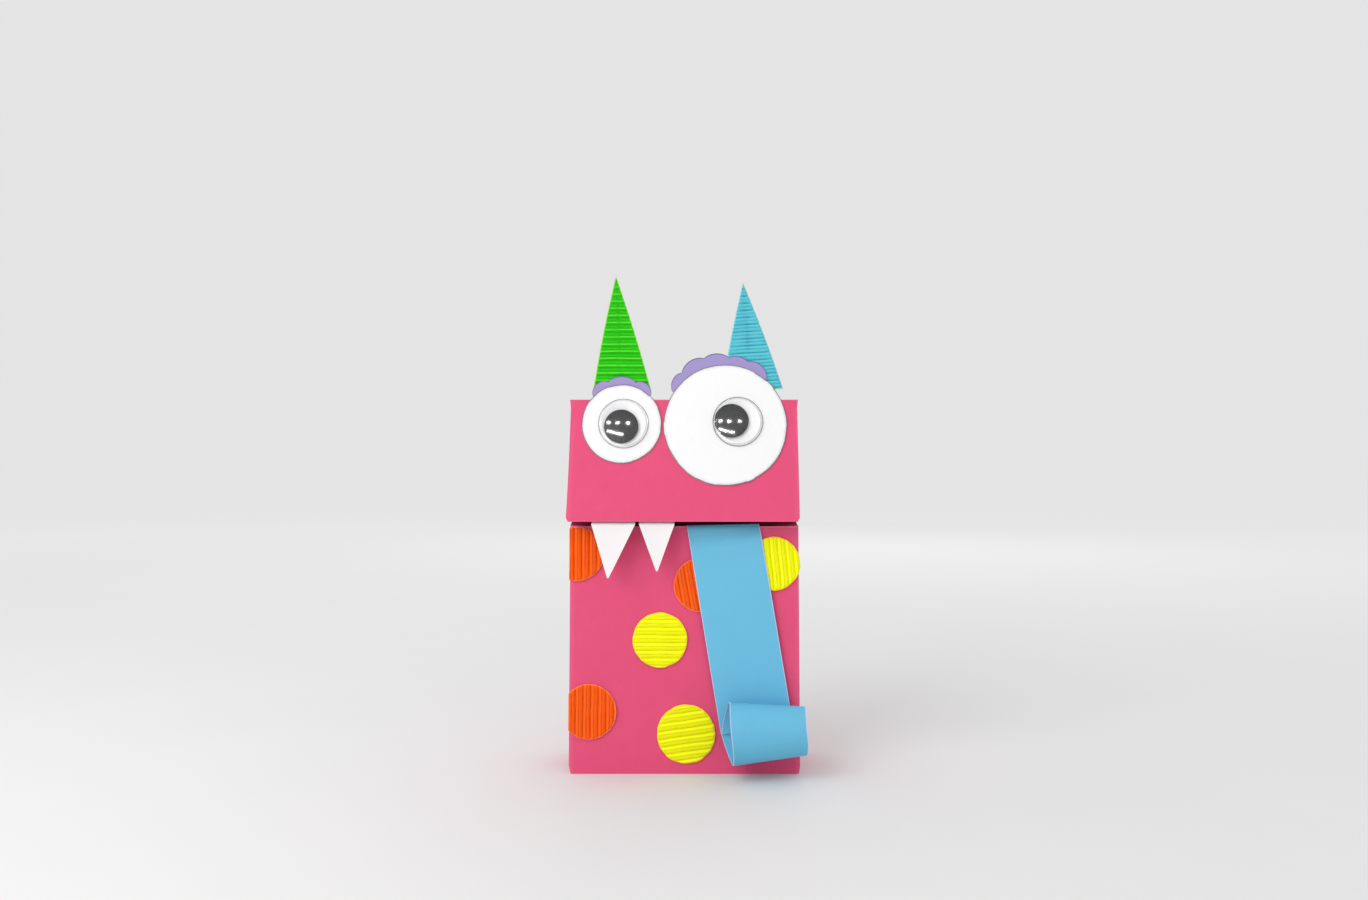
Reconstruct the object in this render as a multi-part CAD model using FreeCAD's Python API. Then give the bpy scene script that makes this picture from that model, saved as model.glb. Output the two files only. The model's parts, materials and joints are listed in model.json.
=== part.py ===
import FreeCAD, Part
import math
import os

# Paper-bag monster hand puppet, standing upright on the rim of its open bag.
# +X is the puppet's own left (right as seen from the front), +Y is its back, +Z is up.
# The origin is the centre of the hand opening, on the plane that the rim stands on.
# All lengths are in millimetres and all angles in degrees.

# The bag: a flat front, a back whose shoulder curves forward to the top fold,
# and a pleated gusset down each side.
BAG_WIDTH = 100.0
BAG_DEPTH = 34.0
PAPER = 0.4
FRONT_HEIGHT = 106.5
FRONT_LEAN = 3.5
SHOULDER_START = 88.0
PLEAT_X = 31.0
PLEAT_MID_Y = 2.8
PLEAT_DEPTH_PER_PAPER = 1.3
PLEAT_GAP = 0.05
PLEAT_TOP_DROP = 1.5
PLEAT_LIP_DROP = 0.6
PLEAT_LIP_SPREAD = 2.5
PLEAT_SPREAD_START = 100.0
PLEAT_SPREAD_END = 112.0
PLEAT_SPREAD = 0.07
SHOULDER_PLEAT_HEIGHTS = (137.0, 148.0, 157.0)
SHOULDER_PLEAT_GAP = 0.1
CHEEK_START = 0.08
CHEEK_END = 0.97
SEAM_WIDTH = 12.0
SEAM_X = -24.0

# The head: the bag's folded bottom, which hangs from the top fold as a flap.
TOP_FOLD_Y = -8.9
TOP_FOLD_Z = 162.2
FOLD_RADIUS = 0.45
FOLD_CLEARANCE = 0.3
FLAP_HEIGHT = 54.4
FLAP_LEAN = 10.7
FLAP_CORNER_RADIUS = 2.0

# The mouth: a floor that runs back from the bag's lip and a roof that runs back
# from the flap's lower edge, to one inner fold.
MOUTH_FOLD_Y = 2.1
MOUTH_FOLD_Z = 125.0
MOUTH_FLOOR_GAP_SHARE = 0.01
MOUTH_ROOF_GAP_SHARE = 0.03
MOUTH_ROOF_START = (2.1, 0.9)
MOUTH_ROOF_SIDE_GAP = 0.5

# Card, thin paper and corrugated card.
CARD = 0.5
THIN_PAPER = 0.3
FLUTE_PITCH = 3.3
FLUTE_HEIGHT = 1.2
FLUTE_PLY = 0.25
HORN_FLUTE_SPAN = 0.6
DOT_FLUTE_SPAN = 1.3

# Eyes: a white card disc with a wiggle eye on it. Places are on the flap, from the
# middle of its lower edge: across, then up.
EYES = {
    "small": {"disc": (-27.2, 42.9), "radius": 17.5, "wiggle": (-26.4, 43.05), "pupil": (-0.9, -1.6)},
    "large": {"disc": (18.05, 42.4), "radius": 27.0, "wiggle": (23.5, 43.9), "pupil": (-2.8, 0.05)},
}
WIGGLE_RADIUS = 11.0
WIGGLE_WALL = 0.5
WIGGLE_SKIRT = 2.1
WIGGLE_HEIGHT = 5.3
WIGGLE_BACK = 0.6
WIGGLE_PLAY = 0.1
PUPIL_RADIUS = 7.45
PUPIL_THICKNESS = 0.8
PUPIL_GAP = 0.2

# Scalloped brows: round bumps on a ring about the centre of the eye's disc.
BROWS = {
    "small": {"ring": 16.6, "bump": 4.6, "first": 121.0, "last": 59.0, "count": 3},
    "large": {"ring": 27.2, "bump": 5.0, "first": 136.0, "last": 59.0, "count": 5},
}
BROW_FOOT = 55.6

# Horns: tall corrugated triangles behind the discs. Base is the middle of the lower edge.
HORNS = {
    "left": {"base": (-26.7, 56.9), "width": 27.4, "height": 54.4, "tilt": 3.5, "flutes": 0.0},
    "right": {"base": (30.0, 58.0), "width": 27.4, "height": 50.2, "tilt": 4.1, "flutes": 4.1},
}

# Teeth: where each starts and ends across the flap, and its tip.
TEETH = {
    "left": {"across": (-39.9, -21.0), "tip": (-32.4, -23.7)},
    "right": {"across": (-19.4, -4.1), "tip": (-11.6, -20.7)},
}
TOOTH_TAB = 6.0
TAB_HALF_WIDTH = 29.0
TAB_INNER_HALF_WIDTH = 24.0
TAB_OVERLAP = 6.0
TAB_FOOT = 0.5
TAB_TOP = 49.5

# Dots on the front panel: centre across and up from the middle of its lower edge.
DOTS = {
    "orange_upper_left": {"centre": (-46.7, 94.4), "radius": 11.8, "flutes": 90.0},
    "orange_centre": {"centre": (7.3, 80.9), "radius": 11.75, "flutes": 100.0},
    "orange_lower_left": {"centre": (-41.1, 26.5), "radius": 11.85, "flutes": 90.0},
    "yellow_upper_right": {"centre": (39.0, 90.2), "radius": 11.7, "flutes": 95.0},
    "yellow_middle": {"centre": (-10.4, 57.3), "radius": 11.9, "flutes": 0.0},
    "yellow_lower": {"centre": (0.9, 17.1), "radius": 12.6, "flutes": 5.0},
}

# Tongue: a paper strip glued at the lip, tilted across the front and curled at its end.
TONGUE_WIDTH = 31.4
TONGUE_TILT = 9.3
TONGUE_CORNER = (2.0, 101.5)
TONGUE_TAB = 5.3
TONGUE_FOLD_GAP = 0.2
TONGUE_REST = 0.35
TONGUE_STEP_RADIUS = 6.2
TONGUE_STEP_TURN = 29.0
TONGUE_STRAIGHT = 70.0
CURL_LEAD = 8.0
CURL_OUTER_RADIUS = 10.5
CURL_INNER_RADIUS = 9.5
CURL_SIDE = 5.5

HALF_WIDTH = BAG_WIDTH / 2
HALF_DEPTH = BAG_DEPTH / 2


def lean_offset(length, lean):
    """How far back and how far up a leaning line of this length runs."""
    angle = math.radians(lean)
    return length * math.sin(angle), length * math.cos(angle)


FRONT_FOOT = (-HALF_DEPTH, 0.0)
front_back, front_up = lean_offset(FRONT_HEIGHT, FRONT_LEAN)
LIP = (FRONT_FOOT[0] + front_back, front_up)
flap_back, flap_up = lean_offset(FLAP_HEIGHT, FLAP_LEAN)
TOP_FOLD = (TOP_FOLD_Y, TOP_FOLD_Z)
FLAP_FOOT = (TOP_FOLD_Y - flap_back, TOP_FOLD_Z - flap_up)
MOUTH_FOLD = (MOUTH_FOLD_Y, MOUTH_FOLD_Z)

# The shoulder is one arc, upright where it starts and ending at the top fold.
shoulder_run = HALF_DEPTH - TOP_FOLD_Y
shoulder_rise = TOP_FOLD_Z - SHOULDER_START
SHOULDER_RADIUS = (shoulder_run**2 + shoulder_rise**2) / (2 * shoulder_run)
SHOULDER_SWEEP = math.asin(shoulder_rise / SHOULDER_RADIUS)

# The fold itself is a bead that touches the flap's plane and the back's. The head turns
# about the bead's axis, and the flap and the back both stop just short of the bead.
fold_half_angle = (math.radians(FLAP_LEAN) + SHOULDER_SWEEP) / 2
fold_bisector = (SHOULDER_SWEEP - math.radians(FLAP_LEAN)) / 2
fold_drop = FOLD_RADIUS / math.sin(fold_half_angle)
FOLD_AXIS = (
    TOP_FOLD_Y + fold_drop * math.sin(fold_bisector),
    TOP_FOLD_Z - fold_drop * math.cos(fold_bisector),
)
FOLD_MARGIN = FOLD_RADIUS / math.tan(fold_half_angle) + FOLD_RADIUS + FOLD_CLEARANCE
shoulder_end = SHOULDER_SWEEP - FOLD_MARGIN / SHOULDER_RADIUS


def vector(point):
    """A point given as back and up, on the plane x = 0."""
    return FreeCAD.Vector(0, point[0], point[1])


def polygon_face(points):
    """A flat face through 3-D points."""
    corners = [FreeCAD.Vector(*point) for point in points]
    return Part.Face(Part.makePolygon(corners + corners[:1]))


def plate(outline, low, high):
    """A flat plate from an outline of (across, up) points, between two heights."""
    face = polygon_face([(across, up, low) for across, up in outline])
    return face.extrude(FreeCAD.Vector(0, 0, high - low))


def round_plate(centre, radius, low, high):
    """A round plate between two heights."""
    return Part.makeCylinder(radius, high - low, FreeCAD.Vector(centre[0], centre[1], low))


def stand_up(shape, foot, lean):
    """Turn a shape made flat into a leaning plane whose lower edge passes through foot."""
    turned = shape.copy()
    turned.rotate(FreeCAD.Vector(0, 0, 0), FreeCAD.Vector(1, 0, 0), 90 - lean)
    turned.translate(vector(foot))
    return turned


def on_front(shape):
    return stand_up(shape, FRONT_FOOT, FRONT_LEAN)


def on_flap(shape):
    return stand_up(shape, FLAP_FOOT, FLAP_LEAN)


def sheet(start, end, thickness, half_width):
    """A straight sheet seen edge-on from start to end, thickened to the right of that line."""
    along = vector(end).sub(vector(start)).normalize()
    inward = FreeCAD.Vector(0, along.z, -along.y) * thickness
    corners = [vector(start), vector(end), vector(end) + inward, vector(start) + inward]
    face = Part.Face(Part.makePolygon(corners + corners[:1]))
    face.translate(FreeCAD.Vector(-half_width, 0, 0))
    return face.extrude(FreeCAD.Vector(2 * half_width, 0, 0))


def front_panel():
    """The front sheet, cut level at the rim and at the lip."""
    corners = [FRONT_FOOT, LIP, lip_inside(), (FRONT_FOOT[0] + PAPER, 0.0)]
    face = polygon_face([(-HALF_WIDTH, y, z) for y, z in corners])
    return face.extrude(FreeCAD.Vector(BAG_WIDTH, 0, 0))


def back_point(sweep, inset):
    """A point on the curved shoulder, inset from its outer face."""
    radius = SHOULDER_RADIUS - inset
    centre_y = HALF_DEPTH - SHOULDER_RADIUS
    return (centre_y + radius * math.cos(sweep), SHOULDER_START + radius * math.sin(sweep))


def back_sheet(outer, inner, left, right):
    """The back's profile between two insets from its outer face, over a range of x."""
    outer_foot = (HALF_DEPTH - outer, 0.0)
    inner_foot = (HALF_DEPTH - inner, 0.0)
    edges = [Part.LineSegment(vector(outer_foot), vector(back_point(0, outer))).toShape()]
    edges.append(shoulder_arc(outer))
    edges.append(
        Part.LineSegment(
            vector(back_point(shoulder_end, outer)), vector(back_point(shoulder_end, inner))
        ).toShape()
    )
    edges.append(shoulder_arc(inner))
    edges.append(Part.LineSegment(vector(back_point(0, inner)), vector(inner_foot)).toShape())
    edges.append(Part.LineSegment(vector(inner_foot), vector(outer_foot)).toShape())
    face = Part.Face(Part.Wire(Part.__sortEdges__(edges)))
    face.translate(FreeCAD.Vector(left, 0, 0))
    return face.extrude(FreeCAD.Vector(right - left, 0, 0))


def shoulder_arc(inset):
    points = [vector(back_point(shoulder_end * part, inset)) for part in (0.0, 0.5, 1.0)]
    return Part.Arc(*points).toShape()


def pleat(edge, crease, thickness, side):
    """Half of a side gusset: from the bag's side edge in to the crease, as a ruled sheet."""
    wires = []
    for x, line in ((HALF_WIDTH, edge), (PLEAT_X, crease)):
        near = [FreeCAD.Vector(side * x, y, z) for y, z in line]
        far = [FreeCAD.Vector(side * x, y + thickness, z) for y, z in reversed(line)]
        wires.append(Part.makePolygon(near + far + near[:1]))
    return Part.makeLoft(wires, True, True)


def between(start, end, part):
    """The point that lies this part of the way from start to end."""
    return tuple(a + (b - a) * part for a, b in zip(start, end))


def flute_profile(length):
    """The edge-on face of a fluted ply that starts at zero and covers this length."""
    chord = FLUTE_PITCH / 2
    rise = (FLUTE_HEIGHT - FLUTE_PLY) / 2
    radius = (chord**2 / 4 + rise**2) / (2 * rise)
    half_angle = math.asin(chord / 2 / radius)
    middle = FLUTE_HEIGHT / 2
    upper = []
    lower = []
    for step in range(math.ceil(length / chord)):
        up = 1 if step % 2 == 0 else -1
        centre = ((step + 0.5) * chord, middle - up * (radius - rise))
        for edges, offset in ((upper, up * FLUTE_PLY / 2), (lower, -up * FLUTE_PLY / 2)):
            reach = radius + offset
            points = []
            for angle in (-half_angle, 0, half_angle):
                across = centre[0] + reach * math.sin(angle)
                points.append(FreeCAD.Vector(across, 0, centre[1] + up * reach * math.cos(angle)))
            edges.append(Part.Arc(*points).toShape())
    start_cap = Part.LineSegment(upper[0].Vertexes[0].Point, lower[0].Vertexes[0].Point)
    end_cap = Part.LineSegment(upper[-1].Vertexes[-1].Point, lower[-1].Vertexes[-1].Point)
    caps = [start_cap.toShape(), end_cap.toShape()]
    return Part.Face(Part.Wire(Part.__sortEdges__(upper + lower + caps)))


def fluted_ply(outline_solid, centre, reach, direction, low):
    """A fluted ply cut to the plan of a solid. Direction is the flutes' angle from across."""
    profile = flute_profile(2 * reach)
    profile.translate(FreeCAD.Vector(-reach, -reach, low))
    ply = profile.extrude(FreeCAD.Vector(0, 2 * reach, 0))
    ply.rotate(FreeCAD.Vector(0, 0, 0), FreeCAD.Vector(0, 0, 1), direction - 90)
    ply.translate(FreeCAD.Vector(centre[0], centre[1], 0))
    return ply.common(outline_solid)


def ribbon(moves, thickness, start, heading):
    """The edge-on face of a strip that bends: each move is (length,) or (radius, turn)."""
    position = FreeCAD.Vector(0, *start)
    angle = math.radians(heading)
    sides = {1: [], -1: []}
    ends = []
    for move in moves:
        left = FreeCAD.Vector(0, -math.sin(angle), math.cos(angle))
        ends.append((position + left * thickness / 2, position - left * thickness / 2))
        if len(move) == 1:
            goal = position + FreeCAD.Vector(0, math.cos(angle), math.sin(angle)) * move[0]
            for side, edges in sides.items():
                shift = left * (side * thickness / 2)
                edges.append(Part.LineSegment(position + shift, goal + shift).toShape())
            position = goal
            continue
        radius, turn = move
        bend = 1 if turn > 0 else -1
        centre = position + left * (bend * radius)
        for side, edges in sides.items():
            reach = radius - bend * side * thickness / 2
            edges.append(bend_arc(centre, reach, angle, turn, bend))
        angle += math.radians(turn)
        position = bend_point(centre, radius, angle, bend)
    left = FreeCAD.Vector(0, -math.sin(angle), math.cos(angle))
    ends.append((position + left * thickness / 2, position - left * thickness / 2))
    caps = [Part.LineSegment(*ends[0]).toShape(), Part.LineSegment(*ends[-1]).toShape()]
    face = Part.Face(Part.Wire(Part.__sortEdges__(sides[1] + sides[-1] + caps)))
    return face, (position.y, position.z), math.degrees(angle)


def bend_point(centre, reach, angle, bend):
    return centre + FreeCAD.Vector(0, math.sin(angle), -math.cos(angle)) * (bend * reach)


def bend_arc(centre, reach, angle, turn, bend):
    angles = [angle + math.radians(turn) * part for part in (0.0, 0.5, 1.0)]
    return Part.Arc(*[bend_point(centre, reach, one, bend) for one in angles]).toShape()


def bag_parts():
    parts = {
        "front_panel": front_panel(),
        "back_panel": back_sheet(0.0, PAPER, -HALF_WIDTH, HALF_WIDTH),
        "back_seam": back_sheet(-THIN_PAPER, 0.0, SEAM_X - SEAM_WIDTH / 2, SEAM_X + SEAM_WIDTH / 2),
        "top_fold": Part.makeCylinder(
            FOLD_RADIUS,
            BAG_WIDTH,
            FreeCAD.Vector(-HALF_WIDTH, *FOLD_AXIS),
            FreeCAD.Vector(1, 0, 0),
        ),
        "mouth_floor": sheet(lip_inside(), mouth_floor_end(), PAPER, HALF_WIDTH),
    }
    for name, side in (("left", -1), ("right", 1)):
        parts[f"gusset_{name}_front"] = gusset_front(side)
        parts[f"gusset_{name}_rear"] = gusset_rear(side)
        parts[f"shoulder_gusset_{name}"] = shoulder_gusset(side)
    return parts


def lip_inside():
    """Where the mouth floor starts, just behind the top of the front panel."""
    return (LIP[0] + PAPER, LIP[1])


def mouth_floor_end():
    return between(MOUTH_FOLD, lip_inside(), MOUTH_FLOOR_GAP_SHARE)


def pleat_thickness():
    """How deep a gusset sheet is along Y, so that it is about one paper thick."""
    return PAPER * PLEAT_DEPTH_PER_PAPER


def crease_at(height):
    """The gusset's crease: from mid-depth at the rim, past the lip, to the mouth fold."""
    if height <= LIP[1]:
        return (PLEAT_MID_Y * height / LIP[1], height)
    part = (height - LIP[1]) / (MOUTH_FOLD_Z - LIP[1])
    return (PLEAT_MID_Y + (MOUTH_FOLD_Y - PLEAT_MID_Y) * part, height)


def gusset_front(side):
    clear = PAPER + PLEAT_GAP
    top = MOUTH_FOLD_Z - PLEAT_TOP_DROP
    floor_top = between(lip_inside(), MOUTH_FOLD, (top - LIP[1]) / (MOUTH_FOLD_Z - LIP[1]))
    edge = [
        (FRONT_FOOT[0] + clear, 0.0),
        (LIP[0] + PLEAT_LIP_SPREAD * clear, LIP[1] - PLEAT_LIP_DROP),
        (floor_top[0] + 2 * clear, top),
    ]
    depth = pleat_thickness()
    crease = [(crease_at(z)[0] - depth, z) for _, z in edge[:2]]
    crease.append((floor_top[0] + 2 * clear, top))
    return pleat(edge, crease, depth, side)


def gusset_rear(side):
    depth = pleat_thickness()
    top = MOUTH_FOLD_Z - PLEAT_TOP_DROP
    heights = (0.0, SHOULDER_START, PLEAT_SPREAD_START, PLEAT_SPREAD_END, top)
    edge = [(back_inside(height) - depth - PLEAT_GAP, height) for height in heights]
    crease = []
    for height in heights:
        stand_off = max(0.0, height - PLEAT_SPREAD_START) * PLEAT_SPREAD
        crease.append((crease_at(height)[0] + stand_off + PLEAT_GAP, height))
    return pleat(edge, crease, depth, side)


def back_inside(height):
    """How far back the inner face of the back panel is at this height."""
    if height <= SHOULDER_START:
        return HALF_DEPTH - PAPER
    sweep = math.asin((height - SHOULDER_START) / (SHOULDER_RADIUS - PAPER))
    return back_point(sweep, PAPER)[0]


def shoulder_gusset(side):
    """The rear half of the head's gusset, from the curved back in to the crease."""
    depth = pleat_thickness()
    heights = (MOUTH_FOLD_Z, *SHOULDER_PLEAT_HEIGHTS)
    edge = [(back_inside(height) - depth - SHOULDER_PLEAT_GAP, height) for height in heights]
    crease = []
    for height in heights:
        part = (height - MOUTH_FOLD_Z) / (TOP_FOLD_Z - MOUTH_FOLD_Z)
        crease.append((between(MOUTH_FOLD, TOP_FOLD, part)[0] + 2 * PAPER, height))
    return pleat(edge, crease, depth, side)


def cheek_gusset(side):
    """The front half of the head's gusset, from the flap's side edge in to the crease."""
    inside = FreeCAD.Vector(0, 1, 0) * (2 * PAPER)
    edge = []
    crease = []
    for part in (CHEEK_START, CHEEK_END):
        y, z = between(TOP_FOLD, FLAP_FOOT, part)
        edge.append((y + inside.y, z))
        y, z = between(TOP_FOLD, MOUTH_FOLD, part)
        crease.append((y - 2 * PAPER, z))
    return pleat(edge, crease, pleat_thickness(), side)


def flap_panel():
    top = FLAP_HEIGHT - FOLD_MARGIN
    outline = [(-HALF_WIDTH, 0), (HALF_WIDTH, 0), (HALF_WIDTH, top), (-HALF_WIDTH, top)]
    panel = plate(outline, -PAPER, 0)
    corners = []
    for edge in panel.Edges:
        box = edge.BoundBox
        if box.ZLength > PAPER / 2 and box.YMax < PAPER:
            corners.append(edge)
    return panel.makeFillet(FLAP_CORNER_RADIUS, corners)


def mouth_roof():
    start = (FLAP_FOOT[0] + MOUTH_ROOF_START[0], FLAP_FOOT[1] + MOUTH_ROOF_START[1])
    end = between(MOUTH_FOLD, start, MOUTH_ROOF_GAP_SHARE)
    return sheet(end, start, PAPER, HALF_WIDTH - MOUTH_ROOF_SIDE_GAP)


def bottom_tab(foot, top, foot_half, top_half, layer):
    """One of the two overlapping glued tabs that close the bag, behind the flap."""
    outline = [(-foot_half, foot), (foot_half, foot), (top_half, top), (-top_half, top)]
    return plate(outline, -PAPER - (layer + 1) * THIN_PAPER, -PAPER - layer * THIN_PAPER)


def tooth(across, tip):
    left, right = across
    outline = [(left, TOOTH_TAB), (left, 0), tip, (right, 0), (right, TOOTH_TAB)]
    front = -PAPER - 2 * THIN_PAPER
    return plate(outline, front - THIN_PAPER, front)


def ring_points(centre, ring, first, last, count):
    points = []
    for index in range(count):
        angle = math.radians(first + (last - first) * index / (count - 1))
        points.append((centre[0] + ring * math.cos(angle), centre[1] + ring * math.sin(angle)))
    return points


def brow(centre, ring, bump, first, last, count):
    """A scalloped strip of paper that shows above the disc, cut off above the top fold."""
    points = ring_points(centre, ring, first, last, count)
    strip = polygon_face([(across, up, -THIN_PAPER) for across, up in points + [centre]])
    strip = strip.extrude(FreeCAD.Vector(0, 0, THIN_PAPER))
    for point in points:
        strip = strip.fuse(round_plate(point, bump, -THIN_PAPER, 0))
    window = Part.makeBox(
        BAG_WIDTH, BAG_WIDTH, 1, FreeCAD.Vector(-HALF_WIDTH, BROW_FOOT, -THIN_PAPER)
    )
    return strip.common(window).removeSplitter()


def horn(base, width, height, tilt, flutes):
    """A corrugated triangle: its backing paper, and the fluted ply in front of that."""
    outline = []
    for across, up in ((-width / 2, 0), (width / 2, 0), (0, height)):
        angle = math.radians(tilt)
        x = base[0] + across * math.cos(angle) - up * math.sin(angle)
        y = base[1] + across * math.sin(angle) + up * math.cos(angle)
        outline.append((x, y))
    front = -THIN_PAPER
    back = front - FLUTE_HEIGHT
    liner = plate(outline, back - THIN_PAPER, back)
    plan = plate(outline, back, front)
    centre = (base[0], base[1] + height / 2)
    return liner, fluted_ply(plan, centre, height * HORN_FLUTE_SPAN, flutes, back)


def dot(centre, radius, flutes):
    """A corrugated dot, cut flush where it would pass the bag's left edge."""
    window = Part.makeBox(
        2 * BAG_WIDTH, 2 * BAG_WIDTH, BAG_WIDTH, FreeCAD.Vector(-HALF_WIDTH, -HALF_WIDTH, 0)
    )
    liner = round_plate(centre, radius, 0, THIN_PAPER).common(window)
    plan = round_plate(centre, radius, THIN_PAPER, THIN_PAPER + FLUTE_HEIGHT).common(window)
    return liner, fluted_ply(plan, centre, radius * DOT_FLUTE_SPAN, flutes, THIN_PAPER)


def domed_plug(radius, skirt, height):
    """A round plug with an upright skirt and a shallow spherical top."""
    cap = height - skirt
    sphere_radius = (radius**2 + cap**2) / (2 * cap)
    sphere = Part.makeSphere(sphere_radius, FreeCAD.Vector(0, 0, height - sphere_radius))
    return Part.makeCylinder(radius, height).common(sphere)


def wiggle_dome(centre):
    """The clear cap of a wiggle eye: a short skirt under a shallow dome."""
    outer = domed_plug(WIGGLE_RADIUS, WIGGLE_SKIRT, WIGGLE_HEIGHT)
    inner = domed_plug(WIGGLE_RADIUS - WIGGLE_WALL, WIGGLE_SKIRT, WIGGLE_HEIGHT - WIGGLE_WALL)
    dome = outer.cut(inner)
    dome.translate(FreeCAD.Vector(centre[0], centre[1], CARD))
    return dome


def eye_parts(size, eye):
    back_radius = WIGGLE_RADIUS - WIGGLE_WALL - WIGGLE_PLAY
    back_top = CARD + WIGGLE_BACK
    pupil_centre = (eye["wiggle"][0] + eye["pupil"][0], eye["wiggle"][1] + eye["pupil"][1])
    pupil_low = back_top + PUPIL_GAP
    return {
        f"eye_disc_{size}": round_plate(eye["disc"], eye["radius"], 0, CARD),
        f"wiggle_back_{size}": round_plate(eye["wiggle"], back_radius, CARD, back_top),
        f"wiggle_dome_{size}": wiggle_dome(eye["wiggle"]),
        f"pupil_{size}": round_plate(
            pupil_centre, PUPIL_RADIUS, pupil_low, pupil_low + PUPIL_THICKNESS
        ),
    }


def head_parts():
    meet = TAB_TOP / 2
    flat = {
        "head_flap": flap_panel(),
        "bottom_tab_upper": bottom_tab(
            TAB_TOP, meet - TAB_OVERLAP / 2, TAB_HALF_WIDTH, TAB_INNER_HALF_WIDTH, 0
        ),
        "bottom_tab_lower": bottom_tab(
            TAB_FOOT, meet + TAB_OVERLAP / 2, TAB_HALF_WIDTH, TAB_INNER_HALF_WIDTH, 1
        ),
    }
    for size, eye in EYES.items():
        flat.update(eye_parts(size, eye))
        flat[f"brow_{size}"] = brow(eye["disc"], **BROWS[size])
    for name, size in TEETH.items():
        flat[f"tooth_{name}"] = tooth(**size)
    for name, size in HORNS.items():
        liner, flutes = horn(**size)
        flat[f"horn_{name}_backing"] = liner
        flat[f"horn_{name}_flutes"] = flutes
    parts = {name: on_flap(shape) for name, shape in flat.items()}
    parts["mouth_roof"] = mouth_roof()
    parts["cheek_gusset_left"] = cheek_gusset(-1)
    parts["cheek_gusset_right"] = cheek_gusset(1)
    return parts


def dot_parts():
    parts = {}
    for name, size in DOTS.items():
        liner, flutes = dot(**size)
        parts[f"dot_{name}_backing"] = on_front(liner)
        parts[f"dot_{name}_flutes"] = on_front(flutes)
    return parts


def place_tongue(shape):
    """Tilt a tongue shape across the front panel and stand it up with that panel."""
    placed = shape.copy()
    placed.rotate(FreeCAD.Vector(0, 0, 0), FreeCAD.Vector(0, 0, 1), TONGUE_TILT)
    placed.translate(FreeCAD.Vector(TONGUE_CORNER[0], TONGUE_CORNER[1], 0))
    return on_front(placed)


def tongue_parts():
    width = FreeCAD.Vector(TONGUE_WIDTH, 0, 0)
    tab = Part.makeBox(TONGUE_WIDTH, TONGUE_TAB, THIN_PAPER)
    step = (TONGUE_STEP_RADIUS, -TONGUE_STEP_TURN)
    step_back = (TONGUE_STEP_RADIUS, TONGUE_STEP_TURN)
    start = (-TONGUE_FOLD_GAP, TONGUE_REST)
    strip, strip_end, heading = ribbon(
        [step, step_back, (TONGUE_STRAIGHT,)], THIN_PAPER, start, 180
    )
    moves = [
        (CURL_LEAD,),
        (CURL_OUTER_RADIUS, -180),
        (CURL_SIDE,),
        (CURL_INNER_RADIUS, -180),
        (CURL_SIDE,),
    ]
    curl, _, _ = ribbon(moves, THIN_PAPER, strip_end, heading)
    return {
        "tongue_tab": place_tongue(tab),
        "tongue_strip": place_tongue(strip.extrude(width)),
        "tongue_curl": place_tongue(curl.extrude(width)),
    }


def main():
    os.makedirs("parts", exist_ok=True)
    for group in (bag_parts(), dot_parts(), tongue_parts(), head_parts()):
        for name, shape in group.items():
            shape.exportStep(os.path.join("parts", name + ".step"))


main()
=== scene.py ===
import json
import random
from math import asin, atan2, cos, hypot, pi, radians, sin, sqrt, tan

import bpy
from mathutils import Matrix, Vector, noise


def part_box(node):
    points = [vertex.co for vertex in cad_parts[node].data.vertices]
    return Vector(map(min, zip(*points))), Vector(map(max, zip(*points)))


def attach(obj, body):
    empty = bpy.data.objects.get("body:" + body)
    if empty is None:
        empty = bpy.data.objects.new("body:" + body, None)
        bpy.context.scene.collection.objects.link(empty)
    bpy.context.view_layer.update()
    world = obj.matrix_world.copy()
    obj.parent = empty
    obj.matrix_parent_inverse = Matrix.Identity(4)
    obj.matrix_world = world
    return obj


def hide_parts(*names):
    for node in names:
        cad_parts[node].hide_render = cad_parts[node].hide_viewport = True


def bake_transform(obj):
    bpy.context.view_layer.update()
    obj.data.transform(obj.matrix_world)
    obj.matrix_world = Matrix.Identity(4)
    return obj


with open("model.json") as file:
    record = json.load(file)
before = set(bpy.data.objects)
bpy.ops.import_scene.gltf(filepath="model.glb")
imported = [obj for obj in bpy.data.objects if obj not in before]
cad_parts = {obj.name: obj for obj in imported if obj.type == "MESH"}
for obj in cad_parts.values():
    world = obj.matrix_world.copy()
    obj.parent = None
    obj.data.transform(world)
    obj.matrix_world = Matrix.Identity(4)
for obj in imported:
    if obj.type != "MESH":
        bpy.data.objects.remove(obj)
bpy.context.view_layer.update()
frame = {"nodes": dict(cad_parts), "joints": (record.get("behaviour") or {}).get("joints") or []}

# Lengths are millimetres until a mesh is made. Camera, floor and lights are in metres.
MM = 0.001
JOINTS = {joint["name"]: joint for joint in frame["joints"]}
ACROSS = Vector((1, 0, 0))


def box_mm(node):
    low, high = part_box(node)
    return low / MM, high / MM


def joint_place(name):
    return Vector(JOINTS[name]["pos_m"]) / MM


def lerp(start, end, part):
    return start + (end - start) * part


def steps(count):
    """Evenly spaced shares from 0 to 1, both ends included."""
    return [index / count for index in range(count + 1)]


def clamp(part):
    return min(max(part, 0.0), 1.0)


def smooth(part):
    part = clamp(part)
    return part * part * (3 - 2 * part)


def hump(part):
    """Rises from 0 to 1 and falls back to 0 as part goes from 0 to 1."""
    return sin(pi * clamp(part))


def side_way(angle):
    """A direction in the side view: 0 points straight back, and a quarter turn straight up."""
    return Vector((0, cos(angle), sin(angle)))


def polar(centre, radius, angle):
    """The place, across and up, at this radius and angle round a centre."""
    return centre[0] + radius * cos(angle), centre[1] + radius * sin(angle)


def add_object(name, data):
    thing = bpy.data.objects.new(name, data)
    bpy.context.scene.collection.objects.link(thing)
    return thing


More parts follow.
